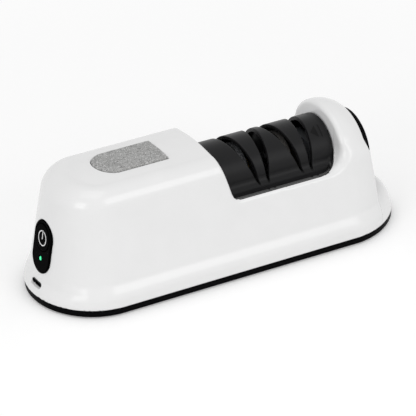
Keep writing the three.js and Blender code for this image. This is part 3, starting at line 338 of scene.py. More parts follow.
@dataclass(frozen=True)
class MarkedPlastic(Plastic):
    """Plastic of the cover: a polished lip, and a sunk arrow and bar that show which way it goes on."""

    mottle: float = 0.04
    coat_roughness: float = 0.15
    tip: float = 48.0
    tail: float = 51.6
    bar: tuple[float, float] = (53.1, 53.8)
    low: float = 42.0
    high: float = 66.0
    sunk: float = 0.12
    shade: float = 0.22
    matt: float = 0.2
    corner: tuple[float, float] = (43.8, 10.7)
    lip: tuple[float, float] = (12.1, 12.8)
    lip_top: tuple[float, float] = (39.6, 40.6)

    def mask(self, shader: Shader) -> Value:
        """Where the arrow and the bar are.

        Args:
            shader: The material.

        Returns:
            1 on them and 0 elsewhere.
        """
        x, y, z = shader.parts(shader.place())
        x = x * (1 / MM)
        angle = (z * (1 / MM) - (AXIS_HEIGHT + FOOT_RISE)).maths("ARCTAN2", y * (-1 / MM)) * (180 / math.pi)
        middle, half = (self.low + self.high) / 2, (self.high - self.low) / 2
        inside = abs(angle - middle)
        width = (x - self.tip) * (half / (self.tail - self.tip))
        arrow = inside.below(width) * x.below(self.tail) * x.above(self.tip)
        bar = inside.below(half) * x.below(self.bar[1]) * x.above(self.bar[0])
        return arrow + bar

    def polish(self, shader: Shader) -> Value:
        """Where the raised lip runs round the brim.

        Args:
            shader: The material.

        Returns:
            1 on the lip and 0 elsewhere.
        """
        x, y, z = shader.parts(shader.place())
        along = (x * (1 / MM) - self.corner[0]).maths("MAXIMUM", 0.0)
        across = (abs(y) * (1 / MM) - self.corner[1]).maths("MAXIMUM", 0.0)
        reach = (along * along + across * across) ** 0.5
        return reach.ramp(*self.lip) * (1 - (z * (1 / MM)).ramp(*self.lip_top))

    def material(self) -> bpy.types.Material:
        """Builds the material.

        Returns:
            The material.
        """
        shader = Shader(bpy.data.materials.new(self.slot))
        mask = self.mask(shader)
        cloud = shader.noise(self.cloud, 3.0)
        fine = shader.noise(self.grain) * self.grain_depth - mask * self.sunk
        return shader.finish({
            "Base Color": shader.mixed(mask, self.mottled(cloud), lighter(self.colour, self.shade)),
            "Roughness": (cloud - 0.5) * self.gloss_change + self.roughness + mask * self.matt,
            "Specular IOR Level": self.mirror,
            "Coat Weight": self.polish(shader),
            "Coat Roughness": self.coat_roughness,
            "Normal": shader.bump(fine, 1.0),
        })


@dataclass(frozen=True)
class Metal:
    """Bare metal with drawn lines along one axis."""

    slot: str
    colour: Colour
    roughness: float
    gloss_change: float = 0.16
    stretch: tuple[float, float, float] = (1.0, 12.0, 12.0)
    line: float = 3.0
    line_depth: float = 0.006
    shades: tuple[float, float] = (0.86, 1.08)

    def material(self) -> bpy.types.Material:
        """Builds the material.

        Returns:
            The material.
        """
        shader = Shader(bpy.data.materials.new(self.slot))
        lines = shader.noise(self.line, 3.0, shader.scaled(shader.place(), self.stretch))
        dark, pale = (lighter(self.colour, shade) for shade in self.shades)
        return shader.finish({
            "Base Color": shader.mixed(lines, dark, pale),
            "Metallic": 1.0,
            "Roughness": (lines - 0.5) * self.gloss_change + self.roughness,
            "Normal": shader.bump(lines, self.line_depth),
        })


@dataclass(frozen=True)
class Grit:
    """Bonded abrasive: speckled grains in a matrix, rough to the touch."""

    slot: str
    colour: Colour
    dark: Colour
    pale: Colour
    grain: float
    depth: float
    metallic: float = 0.0
    dark_to: float = 0.16
    pale_from: float = 0.86
    cloud: float = 5.0
    cloud_share: float = 0.25
    cloud_shade: float = 0.8
    coarse_height: float = 0.7
    fine_height: float = 0.6
    fine_share: float = 0.6
    roughness: float = 0.92
    glint: float = 0.3

    def material(self) -> bpy.types.Material:
        """Builds the material.

        Returns:
            The material.
        """
        shader = Shader(bpy.data.materials.new(self.slot))
        speck = shader.parts(shader.grains(self.grain, "Color"))[0]
        cloud = shader.noise(self.cloud, 3.0) * self.cloud_share
        colour = shader.mixed(speck.above(self.pale_from), self.colour, self.pale)
        colour = shader.mixed(speck.below(self.dark_to), colour, self.dark)
        fine = shader.noise(self.grain * self.fine_share) * self.fine_height
        return shader.finish({
            "Base Color": shader.mixed(cloud, colour, lighter(self.colour, self.cloud_shade)),
            "Metallic": self.metallic,
            "Roughness": self.roughness - speck.above(self.pale_from) * self.glint,
            "Normal": shader.bump(shader.grains(self.grain) * self.coarse_height + fine, self.depth),
        })


@dataclass(frozen=True)
class Glow:
    """Light pipe lit from behind, brightest in its middle."""

    slot: str
    colour: Colour
    core: Colour
    strength: float
    roughness: float = 0.25
    cloud: float = 1.2
    spread: tuple[float, float] = (0.3, 0.7)

    def material(self) -> bpy.types.Material:
        """Builds the material.

        Returns:
            The material.
        """
        shader = Shader(bpy.data.materials.new(self.slot))
        colour = shader.mixed(shader.noise(self.cloud, 1.0).ramp(*self.spread), self.colour, self.core)
        return shader.finish({
            "Base Color": colour,
            "Roughness": self.roughness,
            "Emission Color": colour,
            "Emission Strength": self.strength,
        })


@dataclass(frozen=True)
class Laminate:
    """Circuit board: green lacquer over copper tracks."""

    slot: str
    colour: Colour
    track: Colour
    roughness: float = 0.42
    track_gloss: float = 0.1
    track_pitch: float = 1.27
    track_gap: float = 0.32
    track_height: float = 0.03
    patch: float = 7.0

    def material(self) -> bpy.types.Material:
        """Builds the material.

        Returns:
            The material.
        """
        shader = Shader(bpy.data.materials.new(self.slot))
        across = shader.parts(shader.place())[1] * (1 / (self.track_pitch * MM))
        tracks = abs(across.maths("FRACT") - 0.5).above(self.track_gap)
        broken = tracks * shader.noise(self.patch, 0.0).above(0.5)
        return shader.finish({
            "Base Color": shader.mixed(broken, self.colour, self.track),
            "Roughness": self.roughness - broken * self.track_gloss,
            "Normal": shader.bump(broken, self.track_height),
        })


WHITE_SHELL = Plastic("white_shell", tint("ededed"), 0.2, grain=0.9, grain_depth=0.0015, coat=0.15)
BLACK_SATIN = Plastic("black_satin", tint("1b1b1c"), 0.34, grain=0.35, grain_depth=0.004, mirror=0.15)
KNOB_SATIN = Plastic("black_satin", tint("060607"), 0.3, grain=0.35, grain_depth=0.004, mirror=0.03)
COVER_SATIN = MarkedPlastic("black_satin", tint("1b1b1c"), 0.34, grain=0.35, grain_depth=0.004, mirror=0.14)
BLACK_GLOSS = Plastic("black_gloss", tint("030303"), 0.14, grain=1.2, grain_depth=0.001, mirror=0.005)
# The base is black plastic, and its colour is painted darker still as painted shade for the contact shadow
# along the floor.
BLACK_BASE = Plastic("black_base", tint("060607"), 0.45, grain=0.4, grain_depth=0.006, mirror=0.025)
RUBBER = Plastic("rubber", tint("1d1d1d"), 0.82, grain=0.3, grain_depth=0.02, mirror=0.2)
SYMBOL = Plastic("symbol_white", tint("f0f0f0"), 0.4)
MOULDING = Plastic("grey_moulding", tint("5b5d60"), 0.5, grain=0.4, grain_depth=0.01)
RED_LEAD = Plastic("red_lead", tint("b3261e"), 0.42)
CELL_WRAP = Plastic("cell_wrap", tint("2c62a8"), 0.3, grain=2.5, grain_depth=0.01, coat=0.3)
WHETSTONE = Grit("abrasive", tint("a9a9a8"), tint("7c7c7b"), tint("cfcfce"), 0.42, 0.05)
DIAMOND = Grit("diamond_grit", tint("2a2b2d"), tint("161718"), tint("6f7174"), 0.22, 0.05, 0.1)
CERAMIC = Grit("ceramic_grit", tint("2b2927"), tint("1b1a18"), tint("4c4a45"), 0.16, 0.02)
STEEL = Metal("steel", tint("b9bcc0"), 0.26)
MOTOR_STEEL = Metal("motor_steel", tint("a7abb0"), 0.34)
# Steel painted near black as painted shade, for steel parts that sit in shade inside the cover and the
# charging slot.
SHADE_DARK_STEEL = Metal("steel", tint("3a3b3d"), 0.42)
BRASS = Metal("brass", tint("b3924f"), 0.32)
LENS = Glow("lens_green", tint("25c47f"), tint("4fe3a4"), 0.95)
CIRCUIT = Laminate("circuit_board", tint("1e5b3a"), tint("5b8a4a"))

Finish = Plastic | Metal | Grit | Glow | Laminate


class Paintshop:
    """Makes each finish's material once and puts it on pieces and carried-over solids."""

    def __init__(self) -> None:
        """Starts with no material made."""
        self.made: dict[Finish, bpy.types.Material] = {}

    def material(self, finish: Finish) -> bpy.types.Material:
        """Gives the material of a finish, made at its first use.

        Args:
            finish: The finish.

        Returns:
            Its material.
        """
        if finish not in self.made:
            self.made[finish] = finish.material()
        return self.made[finish]

    def dress(self, piece: bpy.types.Object, finish: Finish) -> None:
        """Puts a finish on a piece, in the object's own slot.

        Args:
            piece: The object to dress.
            finish: Its finish.
        """
        if not piece.data.materials:
            piece.data.materials.append(None)
        for slot in piece.material_slots:
            slot.link = "OBJECT"
            slot.material = self.material(finish)


paintshop = Paintshop()


# ---------------------------------------------------------------- forms as distance fields


class Form:
    """A solid as a field of distances in millimetres, negative inside."""

    def __init__(self, distance: Callable[[Array], Array]) -> None:
        """Holds the field, which gives the distances at points in rows of x, y and z."""
        self.distance = distance

    def join(self, other: "Form", fillet: float = 0.0) -> "Form":
        """This and another solid, with a fillet in the inner corner between them."""
        return Form(lambda p: filleted_least(self.distance(p), other.distance(p), fillet))

    def keep(self, other: "Form", edge: float = 0.0) -> "Form":
        """What this solid and another share, with a rounded edge where their skins meet."""
        return Form(lambda p: rounded_most(self.distance(p), other.distance(p), edge))

    def cut(self, other: "Form", edge: float = 0.0) -> "Form":
        """This solid without another, with a rounded edge on the cut."""
        return self.keep(Form(lambda p: -other.distance(p)), edge)

    @staticmethod
    def slab(low: Sequence[float], high: Sequence[float], edge: float = 0.0) -> "Form":
        """A block with rounded edges.

        Args:
            low: Its lowest corner.
            high: Its highest corner.
            edge: Radius of its edges.

        Returns:
            The block.
        """
        middle = (np.array(low) + np.array(high)) / 2
        half = (np.array(high) - np.array(low)) / 2 - edge

        def distance(p: Array) -> Array:
            """Distances to the block at points."""
            q = np.abs(p - middle) - half
            return np.linalg.norm(np.maximum(q, 0), axis=1) + np.minimum(q.max(axis=1), 0) - edge

        return Form(distance)

    @staticmethod
    def rod(
        axis: Axis, radius: float, start: float, end: float, centre: tuple[float, float], edge: float = 0.0
    ) -> "Form":
        """A round rod.

        Args:
            axis: The axis it lies along.
            radius: Its radius.
            start: Where it starts on that axis.
            end: Where it ends.
            centre: Its middle on the other two axes, in their order.
            edge: Radius of its end edges.

        Returns:
            The rod.
        """
        u, v = [i for i in range(3) if i != axis.value]

        def distance(p: Array) -> Array:
            """Distances to the rod at points."""
            around = np.hypot(p[:, u] - centre[0], p[:, v] - centre[1]) - radius
            return rounded_most(around, outside_range(p[:, axis.value], start, end), edge)

        return Form(distance)


def rounded_most(a: Array, b: Array, edge: Array | float) -> Array:
    """The greater of two distances, with the edge where both skins meet rounded to a radius."""
    corner = np.hypot(np.maximum(a + edge, 0), np.maximum(b + edge, 0))
    return np.minimum(np.maximum(a, b), -edge) + corner


def filleted_least(a: Array, b: Array, fillet: float) -> Array:
    """The lesser of two distances, with a fillet in the inner corner.

    Args:
        a: Distances to the first skin.
        b: Distances to the second skin.
        fillet: Radius of the fillet.

    Returns:
        Distances to both solids together.
    """
    if fillet <= 0:
        return np.minimum(a, b)
    near = np.hypot(np.maximum(fillet - a, 0), np.maximum(fillet - b, 0))
    return np.maximum(fillet, np.minimum(a, b)) - near


def outside_range(values: Array, low: float, high: float) -> Array:
    """How far values lie outside a range, negative inside."""
    return np.abs(values - (low + high) / 2) - (high - low) / 2


def smooth_step(low: float, high: float, value: Array | float) -> Array:
    """0 below low, 1 above high and smooth between them."""
    share = np.clip((value - low) / (high - low), 0, 1)
    return share * share * (3 - 2 * share)


def between(first: Array | float, second: Array | float, share: Array | float) -> Array:
    """What lies that share of the way from the first to the second."""
    return first + (second - first) * share


@dataclass
class Mould:
    """Draws a form's skin as a fine mesh of four-sided cells, with points and normals from its field.

    The form lies in the room from low to high, in millimetres, and the pitch is the size of a cell.
    """

    low: Sequence[float]
    high: Sequence[float]
    pitch: float
    margin: float = 1.5
    probe: float = 0.05
    rounds: int = 3
    least_steep: float = 0.2
    most_drift: float = 0.8
    crease_reach: float = 1.3
    crease_cuts: int = 2
    batch: int = 16

    def start(self) -> Array:
        """Lowest corner of the first cell."""
        return np.array(self.low, float) - self.margin * self.pitch

    def sample(self, form: Form) -> Array:
        """Takes the distances at the corners of all cells, some slices at a time.

        Args:
            form: The form.

        Returns:
            The distances, in a grid.
        """
        start = self.start()
        counts = np.ceil((np.array(self.high) - start) / self.pitch).astype(int) + 2
        axes = [start[i] + self.pitch * np.arange(counts[i]) for i in range(3)]
        flat = np.stack(np.meshgrid(axes[1], axes[2], indexing="ij"), axis=-1).reshape(-1, 2)
        slices = []
        for first in range(0, counts[0], self.batch):
            xs = axes[0][first : first + self.batch]
            points = np.concatenate([np.column_stack([np.full(len(flat), x), flat]) for x in xs])
            slices.append(form.distance(points).reshape(len(xs), *counts[1:]))
        return np.concatenate(slices)

    def cells(self, values: Array) -> tuple[Array, Array]:
        """Finds the cells that the skin passes through.

        Args:
            values: Distances at the corners.

        Returns:
            The middle of the skin in each such cell, and the number of each cell or -1.
        """
        steps = list(product((0, 1), repeat=3))
        shape = [n - 1 for n in values.shape]
        corners = [values[i : i + shape[0], j : j + shape[1], k : k + shape[2]] for i, j, k in steps]
        inside = sum((c < 0).astype(np.int8) for c in corners)
        crossed = (inside > 0) & (inside < 8)
        numbers = np.full(shape, -1, np.int64)
        numbers[crossed] = np.arange(int(crossed.sum()))
        places = np.argwhere(crossed)
        at = [c[crossed] for c in corners]
        total, hits = np.zeros((len(places), 3)), np.zeros(len(places))
        for a, b in product(range(8), repeat=2):
            if a < b and sum(x != y for x, y in zip(steps[a], steps[b])) == 1:
                change = (at[a] < 0) != (at[b] < 0)
                share = at[a][change] / (at[a][change] - at[b][change])
                total[change] += between(np.array(steps[a]), np.array(steps[b]), share[:, None])
                hits[change] += 1
        return self.start() + (places + total / hits[:, None]) * self.pitch, numbers

    @staticmethod
    def faces(values: Array, numbers: Array) -> Array:
        """Joins the cells round each grid edge that crosses the skin.

        Args:
            values: Distances at the corners.
            numbers: The number of each crossed cell.

        Returns:
            The faces, as rows of four points.
        """
        found = []
        for axis in range(3):
            u, v = (axis + 1) % 3, (axis + 2) % 3
            inner = [slice(1, -1)] * 3
            inner[axis] = slice(0, -1)
            after = list(inner)
            after[axis] = slice(1, None)
            first, second = values[tuple(inner)] < 0, values[tuple(after)] < 0
            for leaving in (True, False):
                edges = np.argwhere((first & ~second) if leaving else (~first & second))
                edges[:, u] += 1
                edges[:, v] += 1
                back_u, back_v = np.zeros(3, int), np.zeros(3, int)
                back_u[u], back_v[v] = 1, 1
                ring = [edges - back_u - back_v, edges - back_v, edges, edges - back_u]
                quads = np.stack([numbers[tuple(r.T)] for r in ring], axis=1)
                found.append(quads if leaving else quads[:, ::-1])
        return np.concatenate(found)

    def slope(self, form: Form, points: Array) -> Array:
        """Directions in which the distance grows.

        Args:
            form: The form.
            points: Where they are taken.

        Returns:
            The slopes, rows of x, y and z.
        """
        steps = np.eye(3) * self.probe
        rises = [form.distance(points + s) - form.distance(points - s) for s in steps]
        return np.stack(rises, axis=1) / (2 * self.probe)

    def settle(self, form: Form, points: Array) -> Array:
        """Draws points onto the skin, by less than a cell.

        Args:
            form: The form.
            points: Points close to its skin.

        Returns:
            The points on the skin.
        """
        start = points.copy()
        for _ in range(self.rounds):
            slope = self.slope(form, points)
            steep = np.maximum((slope * slope).sum(axis=1), self.least_steep)
            points = points - slope * (form.distance(points) / steep)[:, None]
        drift = points - start
        length = np.linalg.norm(drift, axis=1, keepdims=True)
        return start + drift * np.minimum(1, self.most_drift * self.pitch / np.maximum(length, TINY))

    def split(self, mesh: bpy.types.Mesh, creases: Sequence[Form]) -> None:
        """Splits the cells that lie along a crease into small ones.

        Args:
            mesh: The mesh, in millimetres.
            creases: Solids whose skins meet the form's in a sharp edge.
        """
        points = mesh_points(mesh)
        near = np.zeros(len(points), bool)
        for crease in creases:
            near |= np.abs(crease.distance(points)) < self.crease_reach * self.pitch
        detail = bmesh.new()
        detail.from_mesh(mesh)
        edges = [e for e in detail.edges if near[e.verts[0].index] and near[e.verts[1].index]]
        bmesh.ops.subdivide_edges(detail, edges=edges, cuts=self.crease_cuts, use_grid_fill=True)
        detail.to_mesh(mesh)
        detail.free()

    def cast(
        self, name: str, form: Form, turn: Matrix | None = None, creases: Sequence[Form] = ()
    ) -> bpy.types.Object:
        """Makes the object.

        Args:
            name: The piece's name.
            form: Its form, in millimetres.
            turn: Its own frame, in metres, or none for the shared frame.
            creases: Solids along whose skins the mesh is finer.

        Returns:
            The piece, in metres in the shared frame.
        """
        values = self.sample(form)
        points, numbers = self.cells(values)
        mesh = mesh_of(name, self.settle(form, points), self.faces(values, numbers))
        if creases:
            coarse = len(mesh.vertices)
            self.split(mesh, creases)
            points = mesh_points(mesh)
            points[coarse:] = self.settle(form, points[coarse:])
            mesh.vertices.foreach_set("co", points.astype(np.float32).ravel())
        slope = self.slope(form, mesh_points(mesh))
        normals = slope / np.maximum(np.linalg.norm(slope, axis=1, keepdims=True), TINY)
        return piece_of(mesh, normals, turn)


def mesh_of(name: str, points: Array, faces: Array) -> bpy.types.Mesh:
    """Makes a smooth mesh.

    Args:
        name: The mesh's name.
        points: Its points in millimetres, rows of x, y and z.
        faces: Its faces, rows of point numbers.

    Returns:
        The mesh, in millimetres.
    """
    mesh = bpy.data.meshes.new(name)
    mesh.vertices.add(len(points))
    mesh.vertices.foreach_set("co", points.astype(np.float32).ravel())
    mesh.loops.add(faces.size)
    mesh.loops.foreach_set("vertex_index", faces.astype(np.int32).ravel())
    mesh.polygons.add(len(faces))
    mesh.polygons.foreach_set("loop_start", np.arange(0, faces.size, faces.shape[1], dtype=np.int32))
    mesh.polygons.foreach_set("use_smooth", np.ones(len(faces), bool))
    mesh.update(calc_edges=True)
    return mesh


def mesh_points(mesh: bpy.types.Mesh) -> Array:
    """Reads a mesh's points.

    Args:
        mesh: The mesh.

    Returns:
        The points, rows of x, y and z.
    """
    flat = np.empty(3 * len(mesh.vertices), np.float32)
    mesh.vertices.foreach_get("co", flat)
    return flat.reshape(-1, 3).astype(float)


def piece_of(mesh: bpy.types.Mesh, normals: Array | None, turn: Matrix | None = None) -> bpy.types.Object:
    """Makes an object of a mesh in millimetres.

    Args:
        mesh: The mesh.
        normals: Normals at its points, or none to take them from the faces.
        turn: Its own frame, in metres, or none for the shared frame.

    Returns:
        The piece, in metres in the shared frame.
    """
    frame_of = turn or Matrix.Translation((0, 0, FOOT_RISE * MM))
    mesh.transform(frame_of @ Matrix.Scale(MM, 4))
    if normals is not None:
        turned = normals @ np.array(frame_of.to_3x3()).T
        mesh.normals_split_custom_set_from_vertices(turned.astype(np.float32).tolist())
    piece = bpy.data.objects.new(mesh.name, mesh)
    bpy.context.scene.collection.objects.link(piece)
    return piece


def settle_in(piece: bpy.types.Object, finish: Finish, body: Body, *nodes: str) -> bpy.types.Object:
    """Dresses a piece, lets it ride on its body and lets it stand for its solids.

    Args:
        piece: The piece.
        finish: Its finish.
        body: The body it moves with.
        nodes: The solids it stands for.

    Returns:
        The piece.
    """
    paintshop.dress(piece, finish)
    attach(piece, body.value)
    if nodes:
        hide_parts(*nodes)
    log.info("%s: %d points, on %s", piece.name, len(piece.data.vertices), body.value)
    return piece


# ---------------------------------------------------------------- camera and studio


@dataclass
class Camera:
    """Camera that stands where the photograph was taken from."""

    azimuth: float = -30.4808
    elevation: float = 29.8711
    distance: float = 1.4713
    focal: float = 3054.7
    image: float = 416.0
    middle: tuple[float, float] = (217.2486, 245.3598)
    aim: tuple[float, float, float] = (0.00208, 0.0, 0.0008)
    sensor: float = 36.0
    clip: tuple[float, float] = (0.05, 50.0)

    def build(self) -> None:
        """Adds the camera and makes it the scene's own."""
        a, e = math.radians(self.azimuth), math.radians(self.elevation)
        back = Vector((math.sin(a) * math.cos(e), -math.cos(a) * math.cos(e), math.sin(e)))
        right = Vector((math.cos(a), math.sin(a), 0))
        up = back.cross(right)
        across = (self.image / 2 - self.middle[0]) / self.focal
        down = (self.image / 2 - self.middle[1]) / self.focal
        data = bpy.data.cameras.new("camera")
        data.sensor_width = self.sensor
        data.lens = self.focal * self.sensor / self.image
        data.clip_start, data.clip_end = self.clip
        camera = bpy.data.objects.new("camera", data)
        camera.location = Vector(self.aim) + back * self.distance
        direction = right * across - up * down - back
        camera.rotation_mode = "QUATERNION"
        camera.rotation_quaternion = direction.to_track_quat("-Z", "Y")
        bpy.context.scene.collection.objects.link(camera)
        bpy.context.scene.camera = camera


@dataclass(frozen=True)
class Lamp:
    """One soft lamp of the studio."""

    name: str
    place: tuple[float, float, float]
    size: tuple[float, float]
    power: float

    def build(self, aim: Vector) -> None:
        """Adds the lamp.

        Args:
            aim: The point it faces.
        """
        data = bpy.data.lights.new(self.name, "AREA")
        data.shape = "RECTANGLE"
        data.size, data.size_y = self.size
        data.energy = self.power
        lamp = bpy.data.objects.new(self.name, data)
        lamp.location = self.place
        lamp.rotation_mode = "QUATERNION"
        lamp.rotation_quaternion = (aim - lamp.location).to_track_quat("-Z", "Y")
        bpy.context.scene.collection.objects.link(lamp)


@dataclass
class Studio:
    """White floor, white surroundings and soft lamps."""

    floor_half: float = 1.6
    floor_colour: Colour = (0.93, 0.93, 0.93)
    floor_lift: float = 0.19
    fade: tuple[float, float] = (0.16, 0.5)
    sky: float = 0.65
    aim: tuple[float, float, float] = (0.0, 0.0, 0.03)
    lamps: list[Lamp] = field(default_factory=lambda: [
        Lamp("top_lamp", (-0.25, -0.25, 1.3), (1.0, 1.0), 2.3),
        Lamp("left_lamp", (-1.3, -0.75, 0.55), (0.7, 0.7), 3.6),
        Lamp("front_lamp", (0.5, -1.4, 0.75), (0.8, 0.8), 3.9),
    ])

    def build(self) -> None:
        """Adds the floor, the world and the lamps."""
        self.floor()
        self.world()
        for lamp in self.lamps:
            lamp.build(Vector(self.aim))
        bpy.context.scene.view_settings.view_transform = "Standard"

    def floor(self) -> None:
        """Adds the floor, which fades into the white surroundings but keeps the shadow of the object."""
        h = self.floor_half / MM
        points = np.array([(x, y, -FOOT_RISE) for x, y in ((-h, -h), (h, -h), (h, h), (-h, h))])
        floor = piece_of(mesh_of("floor", points, np.array([[0, 1, 2, 3]])), None)
        shader = Shader(bpy.data.materials.new("floor_white"))
        far = shader.out("ShaderNodeVectorMath", {"operation": "LENGTH"}, {0: shader.place()}, "Value")
        matt = shader.out("ShaderNodeBsdfDiffuse", {}, {"Color": self.floor_colour})
        white = shader.out("ShaderNodeEmission", {}, {"Color": WHITE, "Strength": self.floor_lift})
        lift = shader.out("ShaderNodeMixShader", {}, {0: shader.backdrop_rays(), 2: white})
        lit = shader.out("ShaderNodeAddShader", {}, {0: matt, 1: lift})
        clear = shader.out("ShaderNodeBsdfTransparent", {}, {})
        surface = shader.out("ShaderNodeMixShader", {}, {0: far.ramp(*self.fade), 1: lit, 2: clear})
        shader.node("ShaderNodeOutputMaterial", {}, {"Surface": surface})
        floor.data.materials.append(shader.owner)

    def world(self) -> None:
        """Makes the surroundings, white where they are seen and plain light elsewhere."""
        world = bpy.data.worlds.new("studio")
        shader = Shader(world)
        light = shader.out("ShaderNodeBackground", {}, {"Color": WHITE, "Strength": self.sky})
        seen = shader.out("ShaderNodeBackground", {}, {"Color": WHITE, "Strength": 1.0})
        surface = shader.out("ShaderNodeMixShader", {}, {0: shader.backdrop_rays(), 1: light, 2: seen})
        shader.node("ShaderNodeOutputWorld", {}, {"Surface": surface})
        bpy.context.scene.world = world


# ---------------------------------------------------------------- white shell


@dataclass
class Envelope:
    """Outer walls that the shell, the cover and the base share."""

    half_length: float = 98.0
    half_width: float = 33.1
    side_flare: tuple[float, float] = (7.0, 15.5)
    end_flare: tuple[float, float] = (3.8, 11.0)
    draft_half: float = 29.3
    draft_height: float = 20.0
    draft_taper: float = 0.175
    left_reach: float = 91.6
    left_height: float = 31.0
    left_taper: float = 0.151
    left_centre: float = 66.5
    right_centre: float = 61.6
    body_reach: float = 96.4
    ledge_reach: float = 94.2
    ledge_flare: tuple[float, float] = (1.4, 9.3)
    wall_power: float = 2.12
    skirt_power: float = 2.04
    foot_power: float = 1.8

    def flare(self, z: Array | float) -> Array:
        """Share of the long walls' flare at a height."""
        return 1 - smooth_step(*self.side_flare, z)

    def end_share(self, z: Array | float) -> Array:
        """Share of the left end's flare at a height."""
        return 1 - smooth_step(*self.end_flare, z)

    def wall_half(self, z: Array | float) -> Array:
        """Half the width at a height."""
        drafted = self.draft_half - self.draft_taper * (z - self.draft_height)
        return between(drafted, self.half_width, self.flare(z))

    def reach_left(self, z: Array | float) -> Array:
        """How far the left end reaches at a height."""
        drafted = self.left_reach - self.left_taper * (z - self.left_height)
        return between(drafted, self.half_length, self.end_share(z))

    def reach_body(self, z: Array | float) -> Array:
        """How far the right end would reach at a height if it weren't cut off at the knob."""
        return between(self.body_reach, self.half_length, self.flare(z))

    def reach_ledge(self, z: Array | float) -> Array:
        """How far the ledge under the knob reaches at a height."""
        drafted = self.ledge_reach - self.left_taper * (z - self.side_flare[1])
        return between(drafted, self.half_length, 1 - smooth_step(*self.ledge_flare, z))

    @staticmethod
    def plan(x: Array, y: Array, centre: float, reach: Array, half: Array, power: Array | float) -> Array:
        """Distance to a plan that is straight up to a centre and rounded beyond it.

        Args:
            x: Distances along the object, growing towards the rounded end.
            y: Distances across the object.
            centre: Where the rounding starts.
            reach: How far the end reaches.
            half: Half the width.
            power: How square the end is.

        Returns:
            The distances, negative inside.
        """
        a, b = np.maximum(reach - centre, THIN), np.maximum(half, THIN)
        u = np.maximum(x - centre, 0) / a
        v = np.maximum(np.abs(y), SMALL) / b
        size = (u**power + v**power) ** (1 / power)
        slope = np.hypot((u / size) ** (power - 1) / a, (v / size) ** (power - 1) / b)
        return (size - 1) / np.maximum(slope, FLAT)


ENVELOPE = Envelope()


